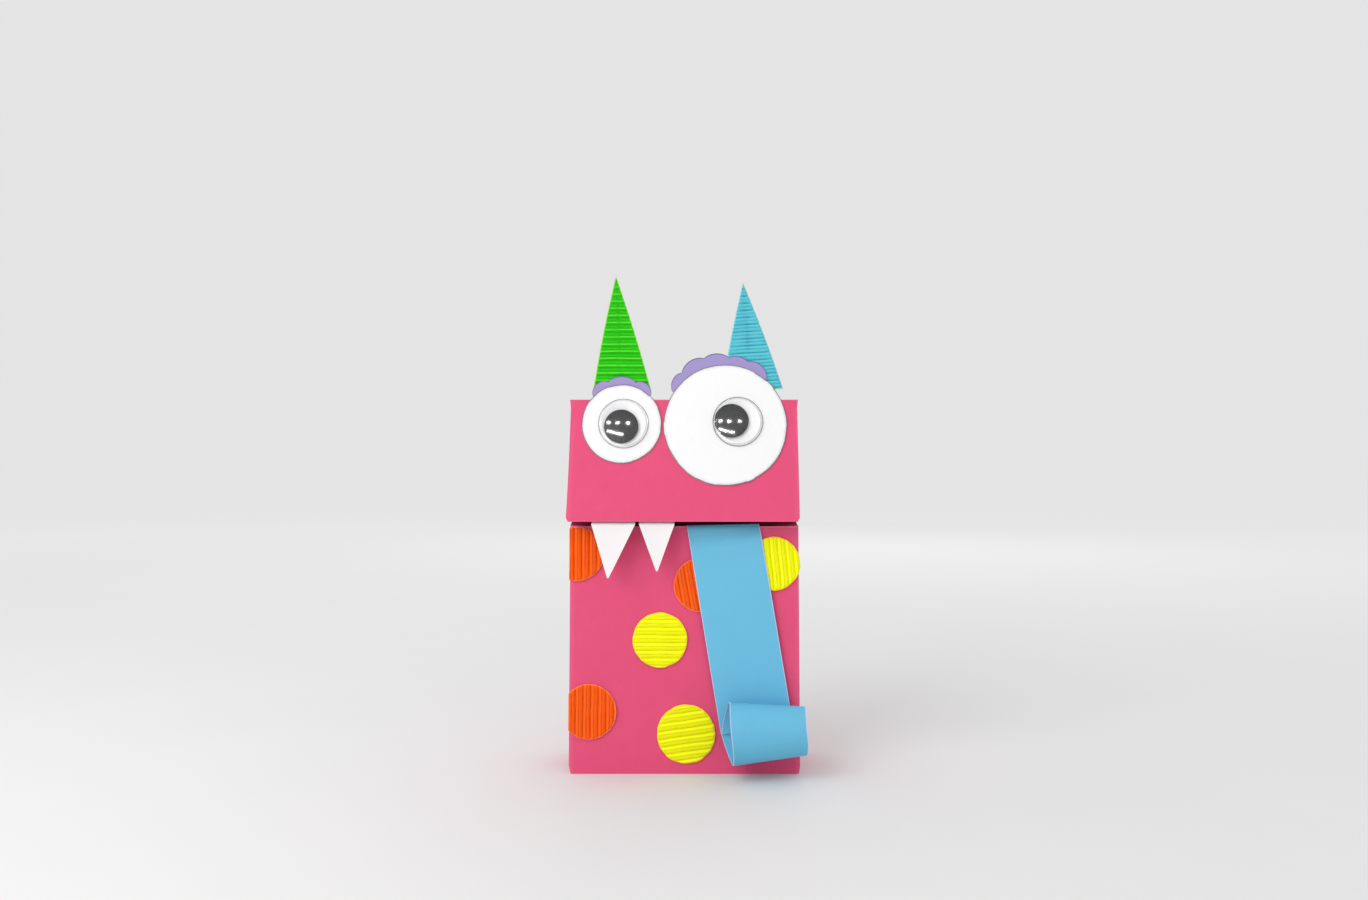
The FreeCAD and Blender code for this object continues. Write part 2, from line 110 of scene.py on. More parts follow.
class Plane:
    """A flat face of the puppet. A place on it is given across, up and out from its foot."""

    def __init__(self, foot, out, across=ACROSS):
        self.foot = foot
        self.out = out.normalized()
        self.across = across.normalized()
        self.up = self.out.cross(self.across).normalized()

    def at(self, across, up, out=0.0):
        return self.foot + self.across * across + self.up * up + self.out * out


# ---- places read from the frame

CAD_PAPER = 0.4
GLUE_GAP = 0.02
SHEET = 0.32
HALF_WIDTH = box_mm("front_panel")[1].x
PLEAT_X = -box_mm("gusset_left_front")[1].x
BACK_Y = box_mm("back_panel")[1].y

front_low, front_high = box_mm("front_panel")
FRONT_FOOT = Vector((0, front_low.y, max(front_low.z, 0)))
LIP = Vector((0, front_high.y - CAD_PAPER, front_high.z))
front_up = (LIP - FRONT_FOOT).normalized()
FRONT = Plane(FRONT_FOOT, Vector((0, -front_up.z, front_up.y)))

HEAD_OUT = Vector(JOINTS["pupil_large_turn"]["axis"]).normalized()
flap_low = box_mm("head_flap")[0]
HEAD = Plane(Vector((0, flap_low.y, flap_low.z + CAD_PAPER * HEAD_OUT.z)), HEAD_OUT)
FLAP_HEIGHT = 54.4
TOP_FOLD = HEAD.at(0, FLAP_HEIGHT)
FOLD_AXIS = joint_place("mouth_open")
FOLD_AXIS.x = 0
MOUTH_FOLD_Y = 2.1
MOUTH_FOLD = Vector((0, MOUTH_FOLD_Y, box_mm("shoulder_gusset_left")[0].z))
PLEAT_MID_Y = 2.8

tongue_across = -Vector(JOINTS["tongue_lift"]["axis"]).normalized()
TONGUE = Plane(joint_place("tongue_lift"), FRONT.out, tongue_across)
TONGUE_WIDTH = 31.4

SHOULDER_START = 88.0
shoulder_run = BACK_Y - TOP_FOLD.y
shoulder_rise = TOP_FOLD.z - SHOULDER_START
SHOULDER_RADIUS = (shoulder_run**2 + shoulder_rise**2) / (2 * shoulder_run)
SHOULDER_CENTRE = Vector((0, BACK_Y - SHOULDER_RADIUS, SHOULDER_START))

# ---- materials


class Nodes:
    """A material's node tree, with short ways to add and join nodes."""

    def __init__(self, name):
        self.material = bpy.data.materials.new(name)
        self.material.use_nodes = True
        self.tree = self.material.node_tree
        self.tree.nodes.clear()
        self.output = self.tree.nodes.new("ShaderNodeOutputMaterial")
        self.place = self.tree.nodes.new("ShaderNodeTexCoord").outputs["Object"]

    def new(self, kind, inputs=None, **settings):
        """A node. Each input, by name or number, gets a value or another node's output."""
        node = self.tree.nodes.new("ShaderNode" + kind)
        for name, value in settings.items():
            setattr(node, name, value)
        for name, value in (inputs or {}).items():
            if isinstance(value, bpy.types.NodeSocket):
                self.tree.links.new(value, node.inputs[name])
            else:
                node.inputs[name].default_value = value
        return node

    def noise(self, size, detail=3.0, rough=0.55, stretch=(1, 1, 1)):
        """Noise whose features are about this many millimetres across."""
        mapping = self.new("Mapping", {"Vector": self.place, "Scale": stretch})
        look = {"Scale": 1 / (size * MM), "Detail": detail, "Roughness": rough}
        return self.new("TexNoise", {"Vector": mapping.outputs["Vector"], **look}).outputs["Fac"]

    def ramp(self, value, low, high, start=0.0, end=1.0):
        ends = {"From Min": start, "From Max": end, "To Min": low, "To Max": high}
        return self.new("MapRange", {"Value": value, **ends}, clamp=True).outputs["Result"]

    def mix(self, factor, first, second):
        """A colour mix. Inputs 6 and 7 are the node's two colours."""
        inputs = {0: factor, 6: first, 7: second}
        return self.new("Mix", inputs, data_type="RGBA").outputs[2]

    def math(self, operation, first, second):
        return self.new("Math", {0: first, 1: second}, operation=operation).outputs["Value"]

    def attribute(self, name):
        return self.new("Attribute", attribute_name=name).outputs["Fac"]

    def bump(self, height, depth):
        """A bump whose full height is this many millimetres."""
        inputs = {"Strength": 1.0, "Distance": depth * MM, "Height": height}
        return self.new("Bump", inputs).outputs["Normal"]

    def principled(self, colour, rough, gloss, normal=None):
        inputs = {"Base Color": colour, "Roughness": rough, "Specular IOR Level": gloss}
        if normal is not None:
            inputs["Normal"] = normal
        return self.finish(self.new("BsdfPrincipled", inputs).outputs["BSDF"])

    def finish(self, surface):
        self.tree.links.new(surface, self.output.inputs["Surface"])
        return self.material


def linear(screen):
    """A screen colour, 0 to 255 a channel, as the light values that shaders use."""
    channels = []
    for value in screen:
        share = value / 255
        channels.append(share / 12.92 if share <= 0.04045 else ((share + 0.055) / 1.055) ** 2.4)
    return (*channels, 1.0)


def toned(colour, factor):
    return (*[min(channel * factor, 1.0) for channel in colour[:3]], 1.0)


PAPER_GLOSS = 0.12
CARD_GRAIN = 0.02
SCUFF_DEPTH = 0.006
MIRROR_TONE = (0.75, 0.75, 0.75, 1)
EDGE_BLEND = 0.35
EDGE_POWER = 3.0


def paper_material(name, colour, worn_and_painted_edge, rough=0.62, mottle=0.05, grain=0.02):
    """Coloured paper: faint cloudy tone, fine tooth, and a second colour where it is creased or
    cut, which is wear on most papers but paints a highlight along the bag's lip and a shadow line
    round the white discs and the purple brows.
    """
    nodes = Nodes(name)
    colour, worn_and_painted_edge = linear(colour), linear(worn_and_painted_edge)
    cloud = nodes.noise(14, detail=4)
    tooth = nodes.noise(0.45, detail=4, rough=0.7)
    fibre = nodes.noise(0.9, stretch=(1, 1, 0.16))
    base = nodes.mix(cloud, toned(colour, 1 - mottle), toned(colour, 1 + mottle))
    base = nodes.mix(nodes.ramp(fibre, 0.0, 0.04, 0.55, 0.8), base, worn_and_painted_edge)
    wear_and_painted_edge = nodes.math("MULTIPLY", nodes.attribute("wear_and_painted_edge"), nodes.ramp(tooth, 0.75, 1.0, 0.3, 0.6))
    base = nodes.mix(wear_and_painted_edge, base, worn_and_painted_edge)
    height = nodes.math("ADD", tooth, nodes.math("MULTIPLY", fibre, 0.6))
    shine = nodes.ramp(nodes.noise(3.0), rough - 0.06, rough + 0.08, 0.3, 0.7)
    return nodes.principled(base, shine, PAPER_GLOSS, nodes.bump(height, grain))


def card_material(name, colour, flute_light_and_shade, ridge_highlight, rim):
    """Corrugated card: painted shade in the flutes' valleys, a painted highlight on the ridges and
    a pale cut rim.
    """
    nodes = Nodes(name)
    colour, flute_light_and_shade, ridge_highlight, rim = (linear(tone) for tone in (colour, flute_light_and_shade, ridge_highlight, rim))
    cloud = nodes.noise(6, detail=4)
    tooth = nodes.noise(0.35, detail=4, rough=0.7)
    streak = nodes.noise(1.2)
    base = nodes.mix(cloud, toned(colour, 0.95), toned(colour, 1.04))
    # The flute value paints shade towards the valleys and, where it is negative, a highlight on the
    # ridges.
    tone = nodes.attribute("flute_light_and_shade")
    base = nodes.mix(nodes.ramp(tone, 0.0, 0.85), base, flute_light_and_shade)
    base = nodes.mix(nodes.ramp(tone, 0.0, 0.85, 0.0, -1.0), base, ridge_highlight)
    edge = nodes.math("MULTIPLY", nodes.attribute("wear_and_painted_edge"), nodes.ramp(streak, 0.6, 1.0, 0.35, 0.55))
    base = nodes.mix(edge, base, rim)
    shine = nodes.ramp(streak, 0.5, 0.66, 0.3, 0.7)
    return nodes.principled(base, shine, PAPER_GLOSS, nodes.bump(tooth, CARD_GRAIN))


def plastic_material(name, colour, rough, fleck, gloss):
    """Smooth plastic with faint scuffs."""
    nodes = Nodes(name)
    colour, fleck = linear(colour), linear(fleck)
    scuff = nodes.noise(0.8, detail=5, rough=0.7, stretch=(1, 1, 0.25))
    base = nodes.mix(nodes.ramp(scuff, 0.0, 0.6, 0.5, 0.75), colour, fleck)
    base = nodes.mix(nodes.ramp(nodes.noise(5), 0.0, 0.4, 0.45, 0.8), base, toned(colour, 1.15))
    shine = nodes.ramp(scuff, rough, rough + 0.14, 0.45, 0.7)
    return nodes.principled(base, shine, gloss, nodes.bump(scuff, SCUFF_DEPTH))


def clear_material(name, tint, facing_share, glare):
    """Thin clear plastic: what is behind it shows, and it mirrors more towards its edges."""
    nodes = Nodes(name)
    facing = nodes.new("LayerWeight", {"Blend": EDGE_BLEND}).outputs["Facing"]
    edge = nodes.math("POWER", facing, EDGE_POWER)
    share = nodes.math("ADD", nodes.math("MULTIPLY", edge, glare), facing_share)
    clear = nodes.new("BsdfTransparent", {"Color": tint}).outputs["BSDF"]
    scuff = nodes.ramp(nodes.noise(1.5, detail=4), 0.11, 0.13, 0.5, 0.8)
    gloss = nodes.new("BsdfGlossy", {"Color": MIRROR_TONE, "Roughness": scuff}).outputs["BSDF"]
    blend = nodes.new("MixShader", {"Fac": share, 1: clear, 2: gloss})
    return nodes.finish(blend.outputs["Shader"])


# Its paler second colour is crease and cut-edge wear, and along the lip a painted highlight.
PINK = paper_material("pink_bag_paper", (226, 80, 122), (250, 150, 180))
PINK_EDGE = paper_material("pink_paper_edge", (200, 66, 100), (230, 120, 150))
# A darker copy of the pink paper for the mouth's inside: painted shade that keeps the slit under
# the flap dark.
SHADED_LINING = paper_material("pink_mouth_lining_painted_shade", (150, 26, 62), (190, 70, 100))
# Its dark grey-purple second colour is a painted shadow line round each disc's cut edge.
WHITE_CARD = paper_material("white_card", (243, 243, 243), (104, 90, 104), 0.5, 0.01, 0.008)
TOOTH_CARD = paper_material("tooth_card", (240, 235, 236), (248, 244, 246), 0.55, 0.02, 0.012)
CARD_EDGE = paper_material("white_card_edge", (205, 198, 204), (220, 214, 220))
# Its darker second colour is a painted shadow line along the brows' scalloped edges.
PURPLE = paper_material("purple_paper", (160, 147, 198), (96, 80, 128))
BLUE = paper_material("blue_tongue_paper", (106, 188, 222), (200, 204, 238), 0.5, 0.03, 0.012)
BLUE_EDGE = paper_material("blue_tongue_edge", (186, 204, 236), (206, 222, 244))
# Each card's own colour, then its painted valley shade, its painted ridge highlight and its cut
# rim.
CARD_TONES = {
    "orange": ((255, 98, 0), (196, 30, 0), (255, 126, 20), (255, 146, 92)),
    "yellow": ((250, 254, 0), (206, 204, 0), (254, 255, 40), (255, 216, 50)),
    "green": ((42, 200, 8), (20, 164, 4), (112, 228, 62), (160, 220, 70)),
    "blue": ((94, 200, 216), (28, 136, 156), (124, 206, 222), (176, 214, 196)),
}
CARDS = {hue: card_material(f"{hue}_corrugated", *tones) for hue, tones in CARD_TONES.items()}
WHITE_PLASTIC = plastic_material("white_plastic", (254, 254, 254), 0.32, (240, 240, 244), 0.2)
BLACK_PLASTIC = plastic_material("black_plastic", (24, 25, 28), 0.4, (58, 60, 60), 0.15)
CLEAR = clear_material("clear_plastic", (1, 1, 1, 1), 0.045, 0.06)
# Grey-tinted clear plastic for the dome brims: the tint is painted shade that draws each brim as a
# dark ring, lighter on the small eye.
CLEAR_RIM_SHADED = clear_material("clear_plastic_rim_painted_shade", (0.4, 0.4, 0.42, 1), 0.1, 0.5)
CLEAR_RIM_LIGHTLY_SHADED = clear_material("clear_plastic_rim_light_painted_shade", (0.58, 0.58, 0.6, 1), 0.1, 0.5)

# ---- mesh making


WELD_GAP = 0.004


class Shape:
    """The points and faces of one piece, with a wear-and-painted-edge value and a painted flute
    light-and-shade value at each point.
    """

    def __init__(self):
        self.points = []
        self.wear_and_painted_edge = []
        self.flute_light_and_shade = []
        self.faces = []
        self.slots = []

    def point(self, place, wear_and_painted_edge=0.0, flute_light_and_shade=0.0):
        self.points.append(place * MM)
        self.wear_and_painted_edge.append(wear_and_painted_edge)
        self.flute_light_and_shade.append(flute_light_and_shade)
        return len(self.points) - 1

    def face(self, corners, slot=0):
        self.faces.append(corners)
        self.slots.append(slot)

    def grid(self, rows, flip=False, closed=False, slot=0):
        """Rows of (place, wear and painted edge) or (place, wear and painted edge, flute light and
        shade) as a net of four-sided faces.
        """
        numbers = [[self.point(*entry) for entry in row] for row in rows]
        for below, above in zip(numbers, numbers[1:]):
            for right in range(0 if closed else 1, len(below)):
                corners = (below[right - 1], below[right], above[right], above[right - 1])
                self.face(corners[::-1] if flip else corners, slot)
        return numbers

    def make(self, name, materials, thickness=0.0, crease=40.0):
        """The finished object. A sheet is thickened inwards and its rim has the next material."""
        mesh = bpy.data.meshes.new(name)
        mesh.from_pydata(self.points, [], self.faces)
        for title, values in (("wear_and_painted_edge", self.wear_and_painted_edge), ("flute_light_and_shade", self.flute_light_and_shade)):
            mesh.attributes.new(title, "FLOAT", "POINT").data.foreach_set("value", values)
        for material in materials:
            mesh.materials.append(material)
        mesh.polygons.foreach_set("material_index", self.slots)
        piece = add_object(name, mesh)
        weld = piece.modifiers.new("weld", "WELD")
        weld.merge_threshold = WELD_GAP * MM
        if thickness:
            solid = piece.modifiers.new("thickness", "SOLIDIFY")
            solid.thickness = thickness * MM
            solid.offset = -1
            solid.material_offset_rim = 1
        graph = bpy.context.evaluated_depsgraph_get()
        graph.update()
        final = bpy.data.meshes.new_from_object(piece.evaluated_get(graph))
        piece.modifiers.clear()
        piece.data = final
        piece.data.shade_smooth()
        piece.data.set_sharp_from_angle(angle=radians(crease))
        return piece


def belong(piece, body, slot, *nodes):
    """Fix a finished piece to its body and hide the nodes it stands for. Its slot argument is not
    used.
    """
    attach(piece, body)
    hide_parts(*nodes)


def bend(piece, slot, *nodes):
    """Bake the place of a piece that spans the bag and the head into its points, leave it
    unattached, and hide the nodes it stands for. Its slot argument is not used.
    """
    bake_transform(piece)
    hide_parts(*nodes)


def fillet(before, corner, after, radius, count, longest):
    """Points of the small arc that rounds a corner between two straight runs."""
    first = before - corner
    second = after - corner
    shortest = min(first.length, second.length)
    half = first.angle(second) / 2
    if half < 0.01:
        return [corner.copy() for _ in steps(count)]
    run = min(radius / tan(half), longest, 0.45 * shortest)
    reach = run * tan(half)
    first.normalize()
    second.normalize()
    centre = corner + (first + second).normalized() * hypot(run, reach)
    start = (corner + first * run - centre).normalized()
    end = (corner + second * run - centre).normalized()
    return [centre + start.slerp(end, part) * reach for part in steps(count)]


def bezier(first, second, third, fourth, count):
    points = []
    for part in steps(count):
        rest = 1 - part
        early = first * rest**3 + second * (3 * rest**2 * part)
        points.append(early + third * (3 * rest * part**2) + fourth * part**3)
    return points


def ripple(x, along, style):
    """The slight unevenness of a paper face, as a distance out of it. style: (seed, amount)."""
    seed, amount = style
    wide = noise.noise(Vector((x / 38, along / 46, seed)))
    fine = noise.noise(Vector((x / 13, along / 17, seed + 40)))
    return amount * (wide + 0.3 * fine)


def patchy(place, size, seed):
    """Noise over a flat face, with features this many millimetres across."""
    return noise.noise(Vector((place.x / size, place.y / size, seed)))


# ---- the bag

CORNER_RADIUS = 0.25
CORNER_RUN = 0.5
CORNER_STEPS = 4
PLEAT_STEPS = 14
PANEL_STEPS = 44
CORNER_WEAR = 0.12
PLEAT_BOW = 0.5
BULGE_START = 0.3
BULGE_RUN = 0.68
RIM_CORNERS = {-1: 0.9, 1: 0.5}
LIP_RADIUS = 0.35
# How strongly the lip is marked: crease wear and a painted highlight where the fold catches the
# light.
LIP_WEAR_AND_HIGHLIGHT = 0.75
FLOOR_AIM = Vector((0, 8.0, -0.7))
FLOOR_END_AIM = Vector((0, 1.5, -12))
# Each sheet's ripple, as (seed, amount).
FRONT_RIPPLE = (3.0, 0.28)
FLOOR_RIPPLE = (3.0, 0.0)
BACK_RIPPLE = (7.0, 0.3)
FLAP_RIPPLE = (12.0, 0.25)
SHOULDER_LEAN = Vector((0, 0.1, 0))
CHEEK_LEAN = Vector((0, 0.2, 0))
FRONT_SHIFT = 0.35


CREASE = [Vector((0, 0, 0)), Vector((0, PLEAT_MID_Y, LIP.z)), MOUTH_FOLD, TOP_FOLD]


def crease_at(height):
    """Where a side pleat's inner crease is, at this height."""
    for low, high in zip(CREASE, CREASE[1:]):
        if height <= high.z or high is TOP_FOLD:
            return lerp(low, high, (height - low.z) / (high.z - low.z))


def pleat_half(outer, crease, edge, bow, wear_and_painted_edge, bulge=0.0):
    """One side of a row: from the pleat's crease out to the edge and round the corner."""
    side = 1 if edge > 0 else -1
    corner = outer + ACROSS * edge
    inner = crease + ACROSS * (side * PLEAT_X)
    gap = abs(outer.y - crease.y)
    longest = min(CORNER_RUN, 0.3 * gap + 0.05)
    arc = fillet(inner, corner, outer, CORNER_RADIUS, CORNER_STEPS, longest)
    row = []
    for part in steps(PLEAT_STEPS)[:-1]:
        swell = bow * hump(part) + bulge * hump((part - BULGE_START) / BULGE_RUN)
        row.append((lerp(inner, arc[0], part) + ACROSS * (side * swell), 0.0))
    return row + [(place, max(wear_and_painted_edge, CORNER_WEAR)) for place in arc]


def panel_between(left, right, normal, along, style, wear_and_painted_edge):
    """A row across a panel, between the ends of its two corners."""
    row = []
    for part in steps(PANEL_STEPS)[1:-1]:
        place = lerp(left, right, part)
        calm = min(1.0, 6 * part, 6 * (1 - part))
        row.append((place + normal * (calm * ripple(place.x, along, style)), wear_and_painted_edge))
    return row


def bag_row(outer, crease, normal, along, style, left, right, wear_and_painted_edge=0.0, bow=PLEAT_BOW, bulge=0.0):
    """A whole row: pleat, corner, panel, corner, pleat."""
    one = pleat_half(outer, crease, left, bow, wear_and_painted_edge)
    two = pleat_half(outer, crease, right, bow, wear_and_painted_edge, bulge)
    panel = panel_between(one[-1][0], two[-1][0], normal, along, style, wear_and_painted_edge)
    return one + panel + two[::-1]


def panel_part(row):
    """Only the panel of a whole row, with the corners' last points as its ends."""
    ends = PLEAT_STEPS + CORNER_STEPS
    return row[ends : len(row) - ends]


def front_profile():
    """The front sheet edge-on: (place, wear and painted edge) up to and over the lip, where that
    value paints a highlight, then the floor's places.
    """
    over = fillet(FRONT_FOOT, LIP, LIP + FLOOR_AIM, LIP_RADIUS, 6, 2.0)
    profile = [(lerp(FRONT_FOOT, over[0], part), 0.0) for part in steps(32)[:-1]]
    profile.append((lerp(FRONT_FOOT, over[0], 1 - LIP_RADIUS / LIP.z), 0.1))
    profile += [(place, LIP_WEAR_AND_HIGHLIGHT) for place in over]
    floor = bezier(over[-1], LIP + FLOOR_AIM, MOUTH_FOLD + FLOOR_END_AIM, MOUTH_FOLD, 18)
    return profile, floor[1:]


def corner_inset(height, radius):
    """How far in an edge is at this height over a rounded corner's lowest point."""
    drop = max(radius - height, 0.0)
    return radius - sqrt(max(radius**2 - drop**2, 0.0))


def bag_front():
    """Front panel, lip, mouth floor and the front halves of both side pleats, as one sheet."""
    panel, floor = front_profile()
    rows = []
    for place, wear_and_painted_edge in panel:
        left = -HALF_WIDTH + corner_inset(place.z, RIM_CORNERS[-1])
        right = HALF_WIDTH + FRONT_SHIFT - corner_inset(place.z, RIM_CORNERS[1])
        crease = crease_at(place.z)
        rows.append(bag_row(place, crease, FRONT.out, place.z, FRONT_RIPPLE, left, right, wear_and_painted_edge))
    floor_rows = [rows[-1]]
    for number, place in enumerate(floor, 1):
        part = number / len(floor)
        crease = crease_at(lerp(LIP.z, MOUTH_FOLD.z, part))
        edges = (-HALF_WIDTH, HALF_WIDTH)
        bow = PLEAT_BOW * (1 - part)
        row = bag_row(place, crease, FRONT.out, place.z, FLOOR_RIPPLE, *edges, bow=bow)
        floor_rows.append(row)
    shape = Shape()
    shape.grid(rows)
    # The mouth floor takes the darker lining colour, which is painted shade.
    shape.grid(floor_rows, slot=2)
    piece = shape.make("bag_front_sheet", [PINK, PINK_EDGE, SHADED_LINING], SHEET)
    nodes = ("front_panel", "mouth_floor", "gusset_left_front", "gusset_right_front")
    belong(piece, "bag", "bag_paper", *nodes)


fold_from_shoulder = FOLD_AXIS - SHOULDER_CENTRE
SHOULDER_END = atan2(fold_from_shoulder.z, fold_from_shoulder.y)


def back_profile():
    """The back's outer line from the rim to the top fold, as (place, normal)."""
    heights = [SHOULDER_START * part for part in steps(24)[:-1]]
    profile = [(Vector((0, BACK_Y, height)), side_way(0)) for height in heights]
    for part in steps(40):
        normal = side_way(SHOULDER_END * part)
        profile.append((SHOULDER_CENTRE + normal * SHOULDER_RADIUS, normal))
    return profile


def back_rows():
    rows = []
    for place, normal in back_profile():
        crease = crease_at(place.z) + SHOULDER_LEAN
        edge = HALF_WIDTH - corner_inset(place.z, RIM_CORNERS[1])
        rows.append(bag_row(place, crease, normal, place.z, BACK_RIPPLE, -edge, edge))
    return rows


FLAP_CORNER = 2.0
FLAP_FLARE = 1.1
HEM_RADIUS = 0.25
CHEEK_BULGE = 4.4
HEM_WEAR = 0.35
FOLD_WEAR = 0.22
# How high the rows round the flap's lower corners are over its lower edge.
CORNER_HEIGHTS = [2.1, 1.7, 1.35, 1.05, 0.8, 0.6, 0.42, HEM_RADIUS]


def flap_half_widths(height):
    """The flap's left and right edges at this height above its lower edge."""
    inset = corner_inset(height, FLAP_CORNER)
    share = 1 - height / FLAP_HEIGHT
    return -HALF_WIDTH - FLAP_FLARE * share**2 + inset, HALF_WIDTH - inset


def flap_rows():
    """Rows down the flap from just below the top fold to its lower edge."""
    top = (FOLD_AXIS - HEAD.foot).dot(HEAD.up) - 0.3
    heights = [lerp(top, FLAP_CORNER + 0.6, part) for part in steps(30)]
    rows = []
    for height in heights + CORNER_HEIGHTS:
        share = 1 - height / FLAP_HEIGHT
        place = HEAD.at(0, height)
        crease = lerp(TOP_FOLD, MOUTH_FOLD, share) - CHEEK_LEAN
        edges = flap_half_widths(height)
        bulge = CHEEK_BULGE * hump((share - 0.5) / 0.5) ** 1.5
        wear_and_painted_edge = 0.15 if height < 0.5 else 0.0
        row = bag_row(place, crease, HEAD.out, height, FLAP_RIPPLE, *edges, wear_and_painted_edge, bulge=bulge)
        rows.append(row)
    return rows


def fold_rows(first, last):
    """Panel rows round the top fold, between the back's last row and the flap's first."""
    end = atan2(HEAD.out.z, HEAD.out.y)
    radius = (HEAD.at(0, 0) - FOLD_AXIS).dot(HEAD.out)
    rows = [first]
    for part in steps(9)[1:-1]:
        place = FOLD_AXIS + side_way(lerp(SHOULDER_END, end, part)) * radius
        spread = [lerp(low[0].x, high[0].x, part) for low, high in zip(first, last)]
        rows.append([(Vector((x, place.y, place.z)), FOLD_WEAR) for x in spread])
    return rows + [last]


def roof_rows(hem):
    """Panel rows round the flap's lower edge and back to the inner mouth fold."""
    foot = HEAD.at(0, HEM_RADIUS)
    centre = foot - HEAD.out * HEM_RADIUS
    goal = MOUTH_FOLD - Vector((0, 0.25, 0.2))
    lowest = centre - HEAD.up * HEM_RADIUS
    run = bezier(lowest, HEAD.at(0, 0.0, -6), lerp(HEAD.at(0, 0), goal, 0.6), goal, 18)
    down = (lowest - centre).normalized()
    turns = [HEAD.out.slerp(down, part) for part in steps(5)[1:-1]]
    path = [(centre + turn * HEM_RADIUS, HEM_WEAR) for turn in turns]
    path += [(place, 0.0) for place in run]
    left, right = hem[0][0].x, hem[-1][0].x
    rows = [hem]
    for number, (place, wear_and_painted_edge) in enumerate(path):
        widen = smooth(number / len(path))
        low = lerp(left, -HALF_WIDTH + 0.6, widen)
        high = lerp(right, HALF_WIDTH - 0.6, widen)
        spread = [lerp(low, high, part) for part in steps(len(hem) - 1)]
        rows.append([(Vector((x, place.y, place.z)), wear_and_painted_edge) for x in spread])
    return rows[:4], rows[3:]


def crease_strips(shape):
    """Join the shoulder pleats to the cheek pleats along their inner creases."""
    for side in (-1, 1):
        rows = []
        for part in steps(40):
            crease = lerp(MOUTH_FOLD, TOP_FOLD, part) + ACROSS * (side * PLEAT_X)
            rows.append([(crease + SHOULDER_LEAN, 0.0), (crease - CHEEK_LEAN, 0.0)])
        shape.grid(rows, flip=side > 0)


def place_along(places, part):
    """The place at this share of a run of places."""
    spot = part * (len(places) - 1)
    first = min(int(spot), len(places) - 2)
    return lerp(places[first], places[first + 1], spot - first)


def cheek_webs(shape, lowest, roof):
    """Close the cheeks underneath, from their lower edges out to the mouth roof."""
    count = PLEAT_STEPS + CORNER_STEPS + 1
    for side, end in ((-1, 0), (1, -1)):
        pleat = lowest[:count][::-1] if side < 0 else lowest[-count:]
        inner_line = [entry[0] for entry in pleat]
        rows = []
        for number, row in enumerate(roof):
            inner = place_along(inner_line, number / (len(roof) - 1))
            rows.append([(lerp(inner, row[end][0], part), 0.0) for part in steps(4)])
        # The cheeks' undersides take the darker lining colour, which is painted shade.
        shape.grid(rows, flip=side > 0, slot=2)


def bag_back():
    """Back, shoulder, top fold, head flap, mouth roof and their pleats, as one sheet."""
    back = back_rows()
    flap = flap_rows()
    shape = Shape()
    shape.grid(back, flip=True)
    shape.grid(fold_rows(panel_part(back[-1]), panel_part(flap[0])), flip=True)
    shape.grid(flap, flip=True)
    hem, lining = roof_rows(panel_part(flap[-1]))
    shape.grid(hem, flip=True)
    # The mouth roof takes the darker lining colour, which is painted shade.
    shape.grid(lining, flip=True, slot=2)
    crease_strips(shape)
    cheek_webs(shape, flap[-1], hem[:-1] + lining)
    piece = shape.make("bag_back_and_head_sheet", [PINK, PINK_EDGE, SHADED_LINING], SHEET)
    bend(
        piece, "bag_paper", "back_panel", "head_flap", "top_fold", "mouth_roof",
        "gusset_left_rear", "gusset_right_rear", "shoulder_gusset_left", "shoulder_gusset_right",
        "cheek_gusset_left", "cheek_gusset_right",
    )


def back_seam():
    """The glued overlap that runs up the back."""
    low, high = box_mm("back_seam")
    rows = []
    for place, normal in back_profile():
        row = []
        for part in steps(8):
            x = lerp(low.x, high.x, part)
            lift, wear_and_painted_edge = (0.04, 0.25) if part in (0.0, 1.0) else (0.24, 0.0)
            edge = 0.35 * noise.noise(Vector((place.z / 9, part * 3, 21.0)))
            base = ripple(x, place.z, BACK_RIPPLE)
            row.append((place + normal * (lift + base) + ACROSS * (x + edge), wear_and_painted_edge))
        rows.append(row)
    shape = Shape()
    shape.grid(rows, flip=True)
    piece = shape.make("back_seam_strip", [PINK, PINK_EDGE], 0.2)
    bend(piece, "bag_paper", "back_seam")


# ---- flat cut pieces

TURN = 2 * pi
OUTLINE_POINTS = 240


def cut_circle(centre, radius, seed, cuts, depth):
    """The outline of a hand-cut circle: short snips, straight at depth 1 and round at 0."""
    snips = random.Random(seed)
    bounds = [TURN * (number + snips.uniform(-0.25, 0.25)) / cuts for number in range(cuts)]
    reaches = [radius * (1 + snips.uniform(-0.008, 0.008)) for _ in bounds]
    bounds.append(bounds[0] + TURN)
    outline = []
    for part in steps(OUTLINE_POINTS)[:-1]:
        angle = TURN * part
        swept = bounds[0] + (angle - bounds[0]) % TURN
        number = max(index for index in range(cuts) if bounds[index] <= swept)
        start, end = bounds[number : number + 2]
        chord = cos((end - start) / 2) / cos(swept - (start + end) / 2)
        reach = reaches[number] * lerp(1.0, chord, depth)
        outline.append(Vector(polar(centre, reach, angle)))
    return outline


def edge_distance(point, outline):
    """How far a point is from the nearest side of an outline."""
    gaps = []
    for number, start in enumerate(outline):
        side = outline[number - 1] - start
        part = clamp((point - start).dot(side) / side.length_squared)
        gaps.append((point - start - side * part).length)
    return min(gaps)


FAR_INSIDE = 99.0
WEAR_FADE = 0.12


